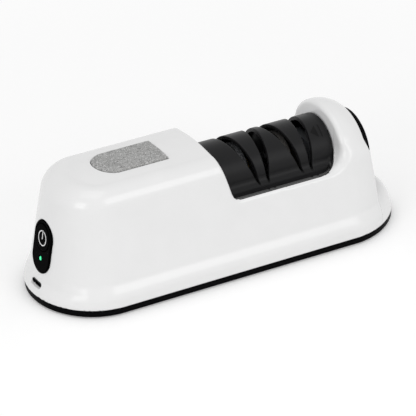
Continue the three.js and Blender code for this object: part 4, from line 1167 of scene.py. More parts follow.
@dataclass
class Housing:
    """White upper shell: block with a crowned top, saddle for the cover and tower with the knob's ledge."""

    pitch: float = 0.7
    wall: float = 2.2
    seam: float = 3.5
    top: float = 61.4
    crown: float = 1.68
    crown_power: float = 1.25
    shoulder: float = 9.0
    end_shoulder: float = 13.0
    shoulder_height: float = 50.9
    wall_top: float = 10.2
    wall_bottom: float = 3.1
    wall_fillet: float = 5.0
    saddle: float = 38.5
    saddle_floor: float = 36.2
    rim: float = 1.1
    face: float = 58.1
    corner: float = 9.0
    split: float = 25.0
    rim_edge: float = 2.4
    wall_edge: float = 1.35
    tower_edge: float = 2.5
    corner_edge: float = 1.9
    corner_rise: float = 4.5
    corner_spread: float = 7.0
    rim_blend: float = 10.0
    fine_edge: float = 0.3
    slot_edge: float = 0.35
    pocket_round: float = 14.0
    brim_gap: float = 0.3
    tongue_half: float = 14.29
    tower_end: float = 74.2
    end_taper: float = 0.158
    end_draft_top: float = 46.3
    tower_round: float = 2.8
    flat_end: float = 62.0
    top_half: float = 23.8
    top_rise: float = 21.4
    end_half: float = 20.5
    end_rise: float = 19.4
    fall: float = 0.82
    tip_share: float = 0.999
    crown_angles: tuple[float, float] = (0.45, 0.62)
    hip: float = 42.0
    bulge: float = 0.9
    ledge: float = 14.0
    ledge_round: float = 4.8
    cup: float = 22.4
    cup_depth: float = 1.9
    cup_end: float = 82.4
    recess: float = 20.2
    recess_end: float = 80.2
    recess_edge: float = 0.5
    seat_margin: float = 2.4
    seat_middle: float = 59.0
    seat_half: float = 1.3
    stone_gap: float = 0.3
    stone_floor: float = 59.25
    opening_drop: float = 9.0
    opening_inset: float = 0.7
    opening_half: float = 16.6
    wheel_room: float = 16.05
    motor_room: float = 8.5
    motor_room_reach: float = 6.6
    motor_room_end: float = 0.4
    spindle_room: float = 2.8
    spindle_overruns: tuple[float, float] = (6.0, 1.0)
    panel_depth: float = 84.0
    crease_depth: float = 1.0
    room_top: float = 62.2

    def block(self, p: Array) -> Array:
        """Distance to the walls of the block, its rounded shoulder and its crowned top.

        Args:
            p: The points.

        Returns:
            The distances.
        """
        x, y, z = p.T
        env = ENVELOPE
        low = self.shoulder_height
        tilt = math.atan(env.draft_taper)
        height = np.minimum(z, low)
        power = between(env.wall_power, env.skirt_power, env.end_share(height))
        left = env.plan(-x, y, env.left_centre, env.reach_left(height), env.wall_half(height), power)
        low_half, low_reach = float(env.wall_half(low)), float(env.reach_left(low))
        crown_half = low_half - self.shoulder * math.cos(tilt)
        crown_reach = low_reach - self.end_shoulder * math.cos(tilt)
        u = np.maximum(-x - env.left_centre, 0) / (crown_reach - env.left_centre)
        share = np.hypot(u, y / crown_half)
        lift = self.crown * np.clip(1 - share * share, 0, 1) ** self.crown_power
        foot = self.top - self.crown
        rise = (z - lift - low) / (foot - low)
        end = np.clip((-x - env.left_centre) / (low_reach - env.left_centre), 0, 1)
        size = between(self.shoulder, self.end_shoulder, end * end)
        c = np.maximum(math.cos(tilt) + left / size, 0)
        s = np.maximum(math.sin(tilt) + rise * (1 - math.sin(tilt)), 0)
        steep = (1 - math.sin(tilt)) / (foot - low)
        rho = np.maximum(np.hypot(c, s), SMALL)
        shoulder = (rho - 1) / np.hypot(c / rho / size, s / rho * steep)
        return np.where(z < low, left, shoulder)

    def tower(self, p: Array) -> Array:
        """Distance to the right body: drafted walls that close into an elliptical top.

        Args:
            p: The points.

        Returns:
            The distances.
        """
        x, y, z = p.T
        env = ENVELOPE
        run = np.clip((x - self.flat_end) / (self.tower_end - self.flat_end), 0, 1)
        share = (1 - np.sqrt(1 - run * run * self.fall)) / (1 - math.sqrt(1 - self.fall))
        centre = between(AXIS_HEIGHT, KNOB_HEIGHT, share)
        half = between(self.top_half, self.end_half, share)
        rise = between(self.top_rise, self.end_rise, share)
        angle = between(*self.crown_angles, share)
        u, v = y / half, (z - centre) / rise
        rho = np.maximum(np.hypot(u, v), SMALL)
        crown = (rho - 1) / np.hypot(u / rho / half, v / rho / rise)
        start_y, start_z = half * np.cos(angle), centre + rise * np.sin(angle)
        reach = np.clip((x - env.right_centre) / (env.body_reach - env.right_centre), 0, self.tip_share)
        plan_share = (1 - reach**env.foot_power) ** (1 / env.foot_power)
        hip_y = env.wall_half(self.hip) * plan_share
        t = np.clip((z - self.hip) / (start_z - self.hip), 0, 1)
        lean = (hip_y - start_y) / (start_z - self.hip)
        bow = self.bulge * (1 + share) * 2 * t * (1 - t)
        side_y = between(hip_y, start_y, t) + bow
        side = (np.abs(y) - side_y) / np.sqrt(1 + lean * lean)
        wall = env.plan(x, y, env.right_centre, env.reach_body(z), env.wall_half(z), env.foot_power)
        section = np.where(z > start_z, crown, np.where(z > self.hip, side, wall))
        end = self.tower_end + self.end_taper * np.maximum(self.end_draft_top - z, 0)
        return rounded_most(section, x - end, self.tower_round)

    def saddle_space(self, p: Array, lift: float = 0.0, corner: float = 0.0, shift: float = 0.0) -> Array:
        """Distance to the space over the saddle, between the slanted wall and the tower.

        Args:
            p: The points.
            lift: How much higher its floor lies.
            corner: Radius where its floor meets the tower.
            shift: How much it is narrower at both ends.

        Returns:
            The distances.
        """
        x, z = p[:, 0], p[:, 2]
        slope = (self.wall_top - self.wall_bottom) / (self.top - self.saddle)
        lean = math.atan(slope)
        floor = self.saddle + lift
        foot_x = -self.wall_bottom - slope * (floor - self.saddle) + shift
        wall = (foot_x - slope * (z - floor) - x) * math.cos(lean)
        under = floor - z
        radius = self.wall_fillet
        run = radius * math.tan((math.pi / 2 - lean) / 2)
        dx, dz = x - foot_x - run, z - floor - radius
        alpha = -dx / math.cos(lean)
        beta = -alpha * math.sin(lean) - dz
        space = np.where((alpha > 0) & (beta > 0), np.hypot(dx, dz) - radius, np.maximum(wall, under))
        return rounded_most(space, x - self.face + shift, corner)

    def pocket(self, p: Array, grow: float) -> Array:
        """Distance in plan to the pocket that takes the cover's brim.

        Args:
            p: The points.
            grow: How much wider than the brim.

        Returns:
            The distances.
        """
        half = float(ENVELOPE.wall_half(self.saddle)) - self.rim - self.brim_gap + grow
        radius = self.pocket_round + grow
        qx = p[:, 0] - (self.face - self.brim_gap + grow - radius)
        qy = np.abs(p[:, 1]) - (half - radius)
        off = np.hypot(np.maximum(qx, 0), np.maximum(qy, 0)) + np.minimum(np.maximum(qx, qy), 0)
        tongue = np.maximum(np.abs(p[:, 1]) - self.tongue_half, p[:, 0] - self.face + self.brim_gap - grow)
        return np.minimum(off - radius, tongue)

    def hull(self, p: Array, sink: float = 0.0, edges: bool = True) -> Array:
        """Distance to the whole outer body.

        Args:
            p: The points.
            sink: How much deeper the saddle lies.
            edges: Whether the edges of the saddle are rounded.

        Returns:
            The distances.
        """
        x, y, z = p.T
        env = ENVELOPE
        body = np.where(x < self.split, self.block(p), self.tower(p))
        edge = 0.0
        if edges:
            right = (x > self.split) * 1.0
            upper = between(self.wall_edge, self.tower_edge, right)
            off = np.minimum(np.abs(z - self.saddle - self.corner_rise) / self.corner_spread, 1)
            edge = between(self.rim_edge, upper, smooth_step(self.saddle, self.saddle + self.rim_blend, z))
            edge = edge + self.corner_edge * right * (1 - off**2)
        body = rounded_most(body, -self.saddle_space(p, -sink, self.corner), edge)
        foot = env.plan(x, y, env.right_centre, env.reach_ledge(z), env.wall_half(z), env.foot_power)
        ledge = np.maximum(rounded_most(foot, z - self.ledge, self.ledge_round), -x)
        return np.minimum(body, ledge)

    def stone_hole(self, floor: float) -> Form:
        """The hole that takes the pad, down to a floor."""
        return Form(lambda p: np.maximum(StonePlan().distance(p, self.stone_gap), floor - p[:, 2]))

    def knob_recess(self) -> Form:
        """The round recess that the knob stands in."""
        return Form.rod(Axis.X, self.recess, self.tower_end, self.recess_end, ON_KNOB)

    def brim_pocket(self, floor: float) -> Form:
        """The pocket that takes the cover's brim, down to a floor."""
        return Form(lambda p: np.maximum(self.pocket(p, self.brim_gap), floor - p[:, 2]))

    def form(self) -> Form:
        """The shell with its cavity, pocket, openings, recesses and stone seat.

        Returns:
            The shell.
        """
        drop = self.saddle - self.saddle_floor
        outer = Form(self.hull)
        solid = outer.cut(Form(lambda p: self.hull(p, drop, False) + self.wall))
        cup = Form.rod(Axis.X, self.cup, self.tower_end - self.cup_depth, self.cup_end, ON_KNOB)
        seat = Form(lambda p: np.maximum(
            StonePlan().distance(p, self.seat_margin), np.abs(p[:, 2] - self.seat_middle) - self.seat_half))
        solid = solid.join(cup.keep(outer)).join(seat.keep(outer)).cut(self.knob_recess(), self.recess_edge)
        brim = self.brim_pocket(self.saddle_floor)
        pocket = Form(lambda p: np.maximum(brim.distance(p), self.saddle_space(p, -drop)))
        opening = Form(lambda p: np.maximum(
            self.saddle_space(p, -self.opening_drop, 0.0, self.opening_inset),
            np.abs(p[:, 1]) - self.opening_half))
        solid = solid.cut(pocket, self.fine_edge).cut(opening)
        before, after = self.spindle_overruns
        for radius, start, end, centre in (
            (self.wheel_room, 0, self.face, ON_AXIS),
            (self.motor_room, -self.wall_top - self.motor_room_reach, self.motor_room_end, ON_AXIS),
            (self.spindle_room, self.face - before, self.tower_end + after, ON_KNOB),
        ):
            solid = solid.cut(Form.rod(Axis.X, radius, start, end, centre))
        solid = solid.cut(self.stone_hole(self.stone_floor), self.slot_edge)
        solid = solid.cut(Form(ControlPanel().hole), self.fine_edge)
        solid = solid.cut(Form(ChargingInlet().slot), self.slot_edge)
        return solid.keep(Form(lambda p: self.seam - p[:, 2]), self.fine_edge)

    def creases(self) -> list[Form]:
        """Lists the solids whose skins cut the shell's outside in a sharp edge.

        Returns:
            The solids.
        """
        seat = self.stone_hole(self.seat_middle)
        brim = self.brim_pocket(self.saddle_floor - self.crease_depth)
        panel = Form(lambda p: np.maximum(ControlPanel().hole(p), p[:, 0] + self.panel_depth))
        return [seat, self.knob_recess(), brim, panel, Form(ChargingInlet().slot)]

    def build(self) -> None:
        """Casts the shell and puts it over its solid."""
        reach, half = ENVELOPE.half_length, ENVELOPE.half_width
        mould = Mould((-reach, -half, self.seam), (reach, half, self.room_top), self.pitch)
        piece = mould.cast("shell_skin", self.form(), None, self.creases())
        settle_in(piece, WHITE_SHELL, Body.HOUSING, "upper_housing")


@dataclass
class StonePlan:
    """Plan of the abrasive pad: square at the slanted wall's side and round at the other."""

    left: float = 64.4
    right: float = 30.0
    half: float = 9.3

    def distance(self, p: Array, grow: float) -> Array:
        """Distance to the plan, grown by a margin.

        Args:
            p: The points.
            grow: The margin.

        Returns:
            The distances.
        """
        radius = self.half + grow
        centre = self.half - self.left
        round_end = np.hypot(np.minimum(p[:, 0] - centre, 0), p[:, 1]) - radius
        return np.maximum(round_end, p[:, 0] + self.right - grow)


@dataclass
class Whetstone:
    """Abrasive pad in the top of the block, with standing grains."""

    pitch: float = 0.36
    bottom: float = 59.55
    top: float = 61.65
    edge: float = 0.3
    grain: float = 0.07
    face_depth: float = 0.2
    seed: int = 11

    def build(self) -> None:
        """Casts the pad and roughens its face."""
        plan = StonePlan()
        form = Form(lambda p: rounded_most(
            plan.distance(p, 0),
            np.maximum(p[:, 2] - self.top + self.grain, self.bottom - p[:, 2]), self.edge))
        low, high = (-plan.left, -plan.half, self.bottom), (-plan.right, plan.half, self.top)
        piece = Mould(low, high, self.pitch).cast("whetstone_pad", form)
        rise = np.random.default_rng(self.seed).uniform(-self.grain, self.grain, len(piece.data.vertices))
        height = (self.top + FOOT_RISE - self.face_depth) * MM
        for vertex, step in zip(piece.data.vertices, rise):
            if vertex.co.z > height:
                vertex.co.z += step * MM
        settle_in(piece, WHETSTONE, Body.HOUSING, "whetstone")


@dataclass
class SharpeningCover:
    """Black cover over the wheels: barrel, brim with a raised lip, end tab and four knife slots."""

    pitch: float = 0.42
    radius: float = 15.75
    wall: float = 2.0
    right: float = 57.8
    brim_top: float = 38.35
    brim_bottom: float = 36.45
    dip: float = 0.8
    lip: float = 1.4
    lip_shares: tuple[float, float] = (2.0, 0.9)
    brim_edge: float = 1.0
    fillet: float = 4.2
    end_wall: float = 2.5
    end_edge: float = 0.8
    fine_edge: float = 0.3
    wall_gap: float = 0.4
    drop: float = 9.0
    half_width: float = 24.8
    left: float = -10.0
    rib: tuple[float, float] = (27.0, 28.4)
    rib_inset: float = 1.0
    spindle_room: float = 4.0
    tab_half: float = 8.6
    tab_bottom: float = 26.6
    tab_edge: float = 0.4
    lock_room: float = 6.2
    lock_slot: float = 2.9
    lock_edge: float = 0.2
    overrun: float = 6.0
    motor_room: float = 6.3
    motor_span: tuple[float, float] = (-16.2, 3.0)
    open_below: tuple[float, float] = (20.0, 30.0)
    slot_low: float = 38.1
    slot_high: float = 56.3
    slot_half: tuple[float, float] = (0.45, 2.5)
    slot_edge: float = 0.35
    stage_pitch: float = 24.0
    slots: tuple[tuple[float, float, float], ...] = ((11.9, 7.1, 0.2), (22.3, 21.5, -0.104))

    def outside(self, p: Array) -> Array:
        """Distance to the barrel and the brim.

        Args:
            p: The points.

        Returns:
            The distances.
        """
        x, y, z = p.T
        shell = Housing()
        barrel = np.hypot(y, np.maximum(z - AXIS_HEIGHT, 0)) - self.radius
        barrel = np.maximum(barrel, self.brim_bottom - z)
        plan = shell.pocket(p, 0.0)
        far, near = (-self.lip * share for share in self.lip_shares)
        height = self.brim_top - self.dip * (1 - smooth_step(far, near, plan))
        brim = rounded_most(plan, np.maximum(z - height, self.brim_bottom - z), self.brim_edge)
        both = rounded_most(filleted_least(barrel, brim, self.fillet), x - self.right, self.end_edge)
        space = shell.saddle_space(p, shell.saddle_floor - shell.saddle, 0.0, self.wall_gap)
        return rounded_most(both, space, self.fine_edge)

    def inside(self, p: Array) -> Array:
        """Distance to the hollow.

        Args:
            p: The points.

        Returns:
            The distances.
        """
        x, y, z = p.T
        tube = np.hypot(y, np.maximum(z - AXIS_HEIGHT, 0)) - self.radius + self.wall
        space = Housing().saddle_space(p, -self.drop, 0.0, self.wall_gap + self.wall)
        return np.maximum(np.maximum(tube, space), x - self.right + self.end_wall)

    def slot(self, p: Array, bottom: float, top: float, skew: float) -> Array:
        """Distance to one knife slot.

        Args:
            p: The points.
            bottom: Where its lower end lies along the cover.
            top: Where its upper end lies.
            skew: How much it turns across the cover.

        Returns:
            The distances.
        """
        angle = math.atan(skew)
        middle = (bottom + top) / 2
        along = (p[:, 0] - middle) * math.cos(angle) + p[:, 1] * math.sin(angle)
        rise = np.maximum((p[:, 2] - self.slot_low) / (self.slot_high - self.slot_low), 0)
        half = between(*self.slot_half, rise)
        sides = np.abs(along - between(bottom, top, rise) + middle) - half
        return np.maximum(sides, self.slot_low - p[:, 2])

    def form(self) -> Form:
        """The whole cover.

        Returns:
            The cover.
        """
        tab = Form.slab(
            (self.right - self.end_wall, -self.tab_half, self.tab_bottom),
            (self.right, self.tab_half, AXIS_HEIGHT), self.tab_edge)
        (start, end), room, inset = self.rib, self.spindle_room, self.rib_inset
        rib = Form.rod(Axis.X, self.radius - inset, start, end, ON_AXIS)
        rib = rib.cut(Form.rod(Axis.X, room, start - inset, end + inset, ON_AXIS))
        rib = rib.cut(Form.slab(
            (start - inset, -room, self.open_below[0]), (end + inset, room, AXIS_HEIGHT)))
        rib = rib.keep(Form(lambda p: self.brim_bottom - p[:, 2]))
        solid = Form(self.outside).cut(Form(self.inside)).join(tab).join(rib)
        left, right = self.right - self.end_wall - self.overrun, self.right + self.overrun
        solid = solid.cut(Form.rod(Axis.X, self.lock_room, left, right, ON_KNOB), self.fine_edge)
        low = (left, -self.lock_slot, self.tab_bottom - self.overrun)
        solid = solid.cut(Form.slab(low, (right, self.lock_slot, KNOB_HEIGHT)), self.lock_edge)
        (start, end), room = self.motor_span, self.motor_room
        solid = solid.cut(Form.rod(Axis.X, room, start, end, ON_AXIS))
        solid = solid.cut(Form.slab((start, -room, self.open_below[1]), (end, room, AXIS_HEIGHT)))
        for stage, (bottom, top, skew) in product((0, 1), self.slots):
            shift = stage * self.stage_pitch
            slot = Form(lambda p, b=bottom + shift, t=top + shift, k=skew: self.slot(p, b, t, k))
            solid = solid.cut(slot, self.slot_edge)
        return solid

    def build(self) -> None:
        """Casts the cover."""
        low = (self.left, -self.half_width, self.tab_bottom)
        high = (self.right, self.half_width, AXIS_HEIGHT + self.radius)
        piece = Mould(low, high, self.pitch).cast("cover_skin", self.form())
        settle_in(piece, COVER_SATIN, Body.COVER, "sharpening_cover")


@dataclass
class EndKnob:
    """Round knob at the right end, with a finger bar and an index line."""

    pitch: float = 0.42
    radius: float = 19.0
    left: float = 74.5
    thickness: float = 2.2
    edge: float = 0.6
    groove: tuple[float, float] = (16.4, 17.2)
    groove_depth: float = 0.35
    groove_edge: float = 0.2
    grip_half: float = 2.2
    grip_length: float = 28.0
    grip_proud: float = 3.0
    grip_edge: float = 0.9
    grip_fillet: float = 1.2
    grip_root: float = 0.5
    line: tuple[float, float] = (14.9, 18.0)
    line_half: float = 0.5
    line_depth: float = 0.4
    line_edges: tuple[float, float] = (0.1, 0.15)
    socket: float = 2.65
    socket_wall: float = 0.5
    overruns: tuple[float, float, float] = (1.0, 2.0, 6.0)

    def form(self) -> Form:
        """The knob: a disc with a turned groove, the finger bar and the index line.

        Returns:
            The knob.
        """
        right = self.left + self.thickness
        short, wide, long = self.overruns
        disc = Form.rod(Axis.X, self.radius, self.left, right, ON_KNOB, self.edge)
        groove = Form.rod(Axis.X, self.groove[1], right - self.groove_depth, right + short, ON_KNOB)
        groove = groove.cut(Form.rod(Axis.X, self.groove[0], right - wide, right + wide, ON_KNOB))
        half = self.grip_length / 2
        grip = Form.slab(
            (self.left + self.grip_root, -self.grip_half, KNOB_HEIGHT - half),
            (right + self.grip_proud, self.grip_half, KNOB_HEIGHT + half), self.grip_edge)
        line = Form.slab(
            (right - self.line_depth, -self.line_half, KNOB_HEIGHT + self.line[0]),
            (right + short, self.line_half, KNOB_HEIGHT + self.line[1]), self.line_edges[0])
        socket = Form.rod(Axis.X, self.socket, self.left - long, right - self.socket_wall, ON_KNOB)
        knob = disc.cut(groove, self.groove_edge).join(grip, self.grip_fillet)
        return knob.cut(line, self.line_edges[1]).cut(socket)

    def build(self) -> None:
        """Casts the knob."""
        r = self.radius
        low = (self.left, -r, KNOB_HEIGHT - r)
        high = (self.left + self.thickness + self.grip_proud, r, KNOB_HEIGHT + r)
        piece = Mould(low, high, self.pitch).cast("knob_cap", self.form())
        settle_in(piece, KNOB_SATIN, Body.KNOB, "end_knob")


@dataclass
class ControlPanel:
    """Black panel at the left end, with its button, its symbol and its light."""

    pitch: float = 0.26
    half: float = 8.0
    height: float = 26.6
    centre: float = 26.8
    proud: float = 0.25
    thickness: float = 2.5
    plate_edge: float = 0.45
    lap: float = 0.1
    hole_half: float = 8.0
    back_gap: float = 1.5
    back_room: float = 4.0
    flange: float = 1.2
    flange_back: float = 1.3
    flange_place: float = 0.8
    flange_half: float = 0.5
    button: float = 6.5
    button_place: float = 4.7
    button_proud: float = 0.15
    button_back: float = 3.2
    button_gap: float = 0.3
    button_edge: float = 0.4
    hole_edge: float = 0.25
    bore_span: tuple[float, float] = (-6.0, 10.0)
    counterbore: float = 1.2
    counterbore_from: float = 1.9
    rim: float = 0.9
    rim_thickness: float = 0.8
    stem: float = 1.8
    stem_end: float = 5.1
    symbol: float = 3.5
    symbol_place: float = 4.3
    stroke: float = 0.5
    bar: float = 4.6
    opening: float = 0.75
    seat_grow: float = 0.1
    seat_depth: float = 0.45
    inlay_back: float = 0.25
    inlay_edge: float = 0.08
    symbol_pitch: float = 0.09
    lens_half: float = 0.85
    lens_height: float = 2.1
    lens_place: float = -6.1
    lens_gap: float = 0.3
    lens_edges: tuple[float, float] = (0.15, 0.4)
    lens_depth: float = 4.2
    lens_room: tuple[float, float] = (1.4, 1.6)
    lens_pitch: float = 0.2
    plate_room: tuple[float, float, float] = (-0.1, 4.0, 1.4)
    cap_room: tuple[float, float, float] = (-0.2, 5.2, 1.0)
    symbol_room: tuple[float, float, float] = (-0.2, 0.3, 0.9)

    def frame(self) -> Matrix:
        """The panel's own frame in metres: x into the wall, z up along it.

        Returns:
            The frame.
        """
        tilt = math.atan(ENVELOPE.left_taper)
        x = -float(ENVELOPE.reach_left(self.centre)) - self.proud
        at = Matrix.Translation((x * MM, 0, (self.centre + FOOT_RISE) * MM))
        return at @ Matrix.Rotation(tilt, 4, "Y")

    def local(self, p: Array) -> Array:
        """Takes points of the shared frame into the panel's own frame.

        Args:
            p: The points.

        Returns:
            The same points in the panel's frame, in millimetres.
        """
        tilt = math.atan(ENVELOPE.left_taper)
        dx = p[:, 0] + float(ENVELOPE.reach_left(self.centre)) + self.proud
        dz = p[:, 2] - self.centre
        along = dx * math.cos(tilt) - dz * math.sin(tilt)
        up = dx * math.sin(tilt) + dz * math.cos(tilt)
        return np.column_stack([along, p[:, 1], up])

    @staticmethod
    def outline(q: Array, half: float, height: float, place: float = 0.0) -> Array:
        """Distance to an upright capsule with half its width, its height and its middle's height."""
        flat = height / 2 - half
        return np.hypot(q[:, 1], np.maximum(np.abs(q[:, 2] - place) - flat, 0)) - half

    def plate_plan(self, q: Array, grow: float) -> Array:
        """Distance to the plate's outline, grown by a margin."""
        return self.outline(q, self.half + grow, self.height + 2 * grow)

    def hole(self, p: Array) -> Array:
        """Distance to the hole that the shell has for the panel.

        Args:
            p: The points.

        Returns:
            The distances.
        """
        q = self.local(p)
        through = np.maximum(self.plate_plan(q, -self.lap), np.abs(q[:, 0]) - self.hole_half)
        room = np.abs(q[:, 0] - self.thickness - self.back_room) - self.back_room
        return np.minimum(through, np.maximum(self.plate_plan(q, self.back_gap), room))

    def plate_form(self) -> Form:
        """The plate with its flange and its holes.

        Returns:
            The plate.
        """
        depth = self.thickness + self.flange_back
        plate = Form(lambda q: rounded_most(
            self.plate_plan(q, 0.0), outside_range(q[:, 0], 0, depth), self.plate_edge))
        flange = Form(lambda q: np.maximum(
            self.plate_plan(q, self.flange),
            np.abs(q[:, 0] - self.thickness - self.flange_place) - self.flange_half))
        place, (start, end) = (0, self.button_place), self.bore_span
        through = Form.rod(Axis.X, self.button + self.button_gap, start, end, place)
        behind = Form.rod(Axis.X, self.button + self.counterbore, self.counterbore_from, end, place)
        lens = Form(lambda q: self.outline(
            q, self.lens_half + self.lens_gap, self.lens_height + 2 * self.lens_gap, self.lens_place))
        return plate.join(flange).cut(through, self.hole_edge).cut(behind).cut(lens, self.lens_edges[0])

    def symbol_form(self, grow: float) -> tuple[Form, Form]:
        """The open ring and the bar of the power symbol.

        Args:
            grow: How much wider they are than the inlay.

        Returns:
            The ring and the bar.
        """
        def ring(q: Array) -> Array:
            """Distance to the open ring.

            Args:
                q: Points in the panel's own frame.

            Returns:
                The distances.
            """
            y, z = q[:, 1], q[:, 2] - self.symbol_place
            band = np.abs(np.hypot(y, z) - self.symbol) - self.stroke / 2 - grow
            return np.maximum(band, np.where(z > 0, self.opening - grow - np.abs(y), -self.symbol))

        top = self.symbol_place + self.symbol + self.stroke + grow
        middle = top - self.bar / 2 - grow
        bar = Form(lambda q: self.outline(q, self.stroke / 2 + grow, self.bar + 2 * grow, middle))
        return Form(ring), bar

    def button_form(self) -> Form:
        """The button's cap, its rim, its stem and the seat of the symbol.

        Returns:
            The button.
        """
        place, back = (0, self.button_place), self.button_back
        cap = Form.rod(Axis.X, self.button, -self.button_proud, back, place, self.button_edge)
        rim = Form.rod(Axis.X, self.button + self.rim, back - self.rim_thickness, back, place)
        stem = Form.rod(Axis.X, self.stem, 0, self.stem_end, place)
        seat = Form(lambda q: q[:, 0] - self.seat_depth)
        ring, bar = self.symbol_form(self.seat_grow)
        return cap.join(rim).join(stem).cut(ring.keep(seat)).cut(bar.keep(seat))

    def inlay(self, form: Form) -> Form:
        """A part of the symbol as a thin solid that stands level with the button."""
        slice_of = Form(lambda q: outside_range(q[:, 0], -self.button_proud, self.inlay_back))
        return form.keep(slice_of, self.inlay_edge)

    def build(self) -> None:
        """Casts the plate, the button, the symbol and the light pipe."""
        turn = self.frame()
        front, back, margin = self.plate_room
        reach, rise = self.half + margin, self.height / 2 + margin
        plate = Mould((front, -reach, -rise), (back, reach, rise), self.pitch)
        piece = plate.cast("panel_plate", self.plate_form(), turn)
        settle_in(piece, BLACK_GLOSS, Body.HOUSING, "control_panel")
        front, back, margin = self.cap_room
        r, c = self.button + margin, self.button_place
        cap = Mould((front, -r, c - r), (back, r, c + r), self.pitch)
        piece = cap.cast("button_cap", self.button_form(), turn)
        settle_in(piece, BLACK_GLOSS, Body.BUTTON, "power_button")
        front, back, margin = self.symbol_room
        s, c = self.symbol + margin, self.symbol_place
        fine = Mould((front, -s, c - s), (back, s, c + s), self.symbol_pitch)
        for name, form in zip(("ring", "bar"), self.symbol_form(0.0)):
            piece = fine.cast(f"symbol_{name}", self.inlay(form), turn)
            settle_in(piece, SYMBOL, Body.BUTTON, f"power_symbol_{name}")
        pipe = Form(lambda q: self.outline(q, self.lens_half, self.lens_height, self.lens_place))
        ends = Form(lambda q: outside_range(q[:, 0], 0, 2 * self.lens_depth))
        place, (half, rise) = self.lens_place, self.lens_room
        light = Mould((0, -half, place - rise), (2 * self.lens_depth, half, place + rise), self.lens_pitch)
        piece = light.cast("light_pipe", pipe.keep(ends, self.lens_edges[1]), turn)
        settle_in(piece, LENS, Body.HOUSING, "status_lens")


@dataclass
class ChargingInlet:
    """Slot of the charging inlet in the skirt."""

    half: float = 4.4
    rise: float = 1.2
    height: float = 8.0
    depth: float = 89.4

    def slot(self, p: Array) -> Array:
        """Distance to the slot in the shell.

        Args:
            p: The points.

        Returns:
            The distances.
        """
        flat = self.half - self.rise
        around = np.hypot(np.maximum(np.abs(p[:, 1]) - flat, 0), p[:, 2] - self.height) - self.rise
        return np.maximum(around, p[:, 0] + self.depth)


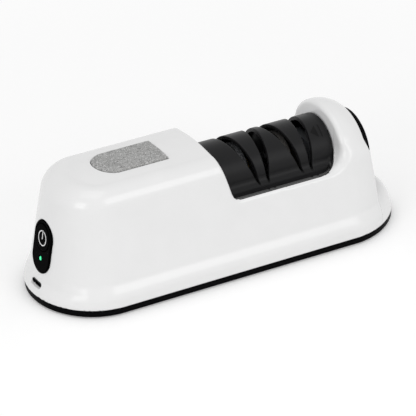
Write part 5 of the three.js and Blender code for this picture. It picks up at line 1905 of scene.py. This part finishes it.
@dataclass
class Underside:
    """Black base tray with its feet and its screws."""

    pitch: float = 0.62
    inset: float = 0.4
    rim: float = 3.2
    rim_edge: float = 0.45
    floor: float = 2.6
    rim_wall: float = 1.6
    room: tuple[float, float, float] = (98.0, 33.0, 4.4)
    cut_overrun: float = 1.0
    foot: float = 6.0
    foot_top: float = 0.9
    foot_edge: float = 0.35
    foot_gap: float = 0.3
    foot_seat: float = 1.2
    foot_groove: tuple[float, float] = (3.6, 4.3)
    foot_groove_depth: float = 0.3
    foot_groove_edge: float = 0.1
    foot_pitch: float = 0.4
    hole: float = 1.7
    head_hole: float = 3.0
    head_seat: float = 1.5
    hole_edge: float = 0.25
    overrun: float = 6.0
    head: float = 2.7
    head_top: float = 1.35
    shank: float = 1.4
    shank_top: float = 9.35
    screw_low: float = 0.05
    screw_edge: float = 0.3
    cross: tuple[float, float] = (1.5, 0.3)
    cross_depth: float = 0.9
    cross_edge: float = 0.05
    screw_room: float = 9.4
    screw_pitch: float = 0.24
    boss: float = 2.6
    boss_span: tuple[float, float] = (1.3, 4.32)
    boss_side: float = 9.1
    feet: dict[str, tuple[float, float]] = field(default_factory=lambda: {
        "front_left": (-74.0, -18.5),
        "rear_left": (-74.0, 18.5),
        "front_right": (72.0, -18.5),
        "rear_right": (72.0, 18.5),
    })
    screws: dict[str, tuple[float, float]] = field(default_factory=lambda: {
        "front_left": (-58.0, -24.0),
        "rear_left": (-58.0, 24.0),
        "front_right": (85.4, -11.0),
        "rear_right": (85.4, 11.0),
    })
    bosses: tuple[float, ...] = (-86.4, -75.8)

    def plan(self, p: Array, inset: float) -> Array:
        """Distance to the base's plan.

        Args:
            p: The points.
            inset: How much the plan is pulled in.

        Returns:
            The distances.
        """
        env = ENVELOPE
        reach, half = env.half_length - inset, env.half_width - inset
        right = env.plan(p[:, 0], p[:, 1], env.right_centre, reach, half, env.foot_power)
        left = env.plan(-p[:, 0], p[:, 1], env.left_centre, reach, half, env.skirt_power)
        return np.where(p[:, 0] > 0, right, left)

    def form(self) -> Form:
        """The tray with its recesses, holes and board posts.

        Returns:
            The tray.
        """
        tray = Form(lambda p: rounded_most(
            self.plan(p, self.inset), outside_range(p[:, 2], 0, self.rim), self.rim_edge))
        inside = Form(lambda p: np.maximum(self.plan(p, self.inset + self.rim_wall), self.floor - p[:, 2]))
        solid = tray.cut(inside)
        low, high = -self.overrun, self.overrun
        for place in self.feet.values():
            seat = Form.rod(Axis.Z, self.foot + self.foot_gap, low, self.foot_seat, place)
            solid = solid.cut(seat, self.hole_edge)
        for place in self.screws.values():
            solid = solid.cut(Form.rod(Axis.Z, self.hole, low, high, place))
            solid = solid.cut(Form.rod(Axis.Z, self.head_hole, low, self.head_seat, place), self.hole_edge)
        for x, side in product(self.bosses, (-1, 1)):
            solid = solid.join(Form.rod(Axis.Z, self.boss, *self.boss_span, (x, side * self.boss_side)))
        return solid

    def foot_form(self, place: tuple[float, float]) -> Form:
        """One rubber foot with a turned groove in its sole.

        Args:
            place: Where its middle stands.

        Returns:
            The foot.
        """
        foot = Form.rod(Axis.Z, self.foot, -FOOT_RISE, self.foot_top, place, self.foot_edge)
        narrow, wide = self.foot_groove
        over = self.cut_overrun
        groove = Form.rod(Axis.Z, wide, -2 * over, self.foot_groove_depth - FOOT_RISE, place)
        return foot.cut(groove.cut(Form.rod(Axis.Z, narrow, -3 * over, over, place)), self.foot_groove_edge)

    def screw_form(self, place: tuple[float, float]) -> Form:
        """One screw with a crossed recess in its head.

        Args:
            place: Where its middle stands.

        Returns:
            The screw.
        """
        x, y = place
        low, edge = self.screw_low, self.screw_edge
        solid = Form.rod(Axis.Z, self.head, low, self.head_top, place, edge)
        solid = solid.join(Form.rod(Axis.Z, self.shank, low, self.shank_top, place, edge))
        for wide, narrow in (self.cross, self.cross[::-1]):
            low = -self.cut_overrun
            arm = Form.slab((x - wide, y - narrow, low), (x + wide, y + narrow, self.cross_depth))
            solid = solid.cut(arm, self.cross_edge)
        return solid

    def build(self) -> None:
        """Casts the tray, the feet and the screws."""
        reach, half, top = self.room
        tray = Mould((-reach, -half, 0), (reach, half, top), self.pitch).cast("base_tray", self.form())
        settle_in(tray, BLACK_BASE, Body.HOUSING, "base_plate")
        r = self.foot
        for name, (x, y) in self.feet.items():
            room = Mould((x - r, y - r, -FOOT_RISE), (x + r, y + r, self.foot_top), self.foot_pitch)
            piece = room.cast(f"rubber_foot_{name}", self.foot_form((x, y)))
            settle_in(piece, RUBBER, Body.HOUSING, f"foot_{name}")
        r = self.head
        for name, (x, y) in self.screws.items():
            room = Mould((x - r, y - r, 0), (x + r, y + r, self.screw_room), self.screw_pitch)
            piece = room.cast(f"screw_{name}", self.screw_form((x, y)))
            settle_in(piece, STEEL, Body.HOUSING, f"base_screw_{name}")


# ---------------------------------------------------------------- carried-over solids


@dataclass
class CarriedOver:
    """Finishes of the solids that show as they are, but for two steel parts painted dark as painted shade.
    """

    finishes: tuple[Finish, ...] = (
        WHITE_SHELL, BLACK_SATIN, BLACK_GLOSS, BLACK_BASE, RUBBER, WHETSTONE, SYMBOL, LENS, STEEL,
        MOTOR_STEEL, BRASS, CIRCUIT, CELL_WRAP, DIAMOND, CERAMIC, MOULDING, RED_LEAD,
    )
    # The wheel spindle and the inlet's shell take the dark steel: painted shade where they sit in shade
    # inside the cover and the charging slot.
    shaded_inside: tuple[str, ...] = ("wheel_spindle", "usb_c_shell")

    def build(self) -> None:
        """Dresses every solid by its material slot in the record."""
        by_slot = {finish.slot: finish for finish in self.finishes}
        slots = {row["node"]: row["material_slot"] for row in frame["record"]["subparts"]}
        for name, node in frame["nodes"].items():
            finish = SHADE_DARK_STEEL if name in self.shaded_inside else by_slot[slots[name]]
            paintshop.dress(node, finish)
            log.info("%s: %s", name, finish.slot)


def main() -> None:
    """Builds the camera, the studio and the pieces in order."""
    logging.basicConfig(level=logging.INFO, format="%(message)s")
    parts = (
        Camera(), Studio(), CarriedOver(), Housing(), Whetstone(), SharpeningCover(), EndKnob(),
        ControlPanel(), Underside(),
    )
    for part in parts:
        part.build()
        log.info("%s built", type(part).__name__)


if __name__ == "__main__":
    main()
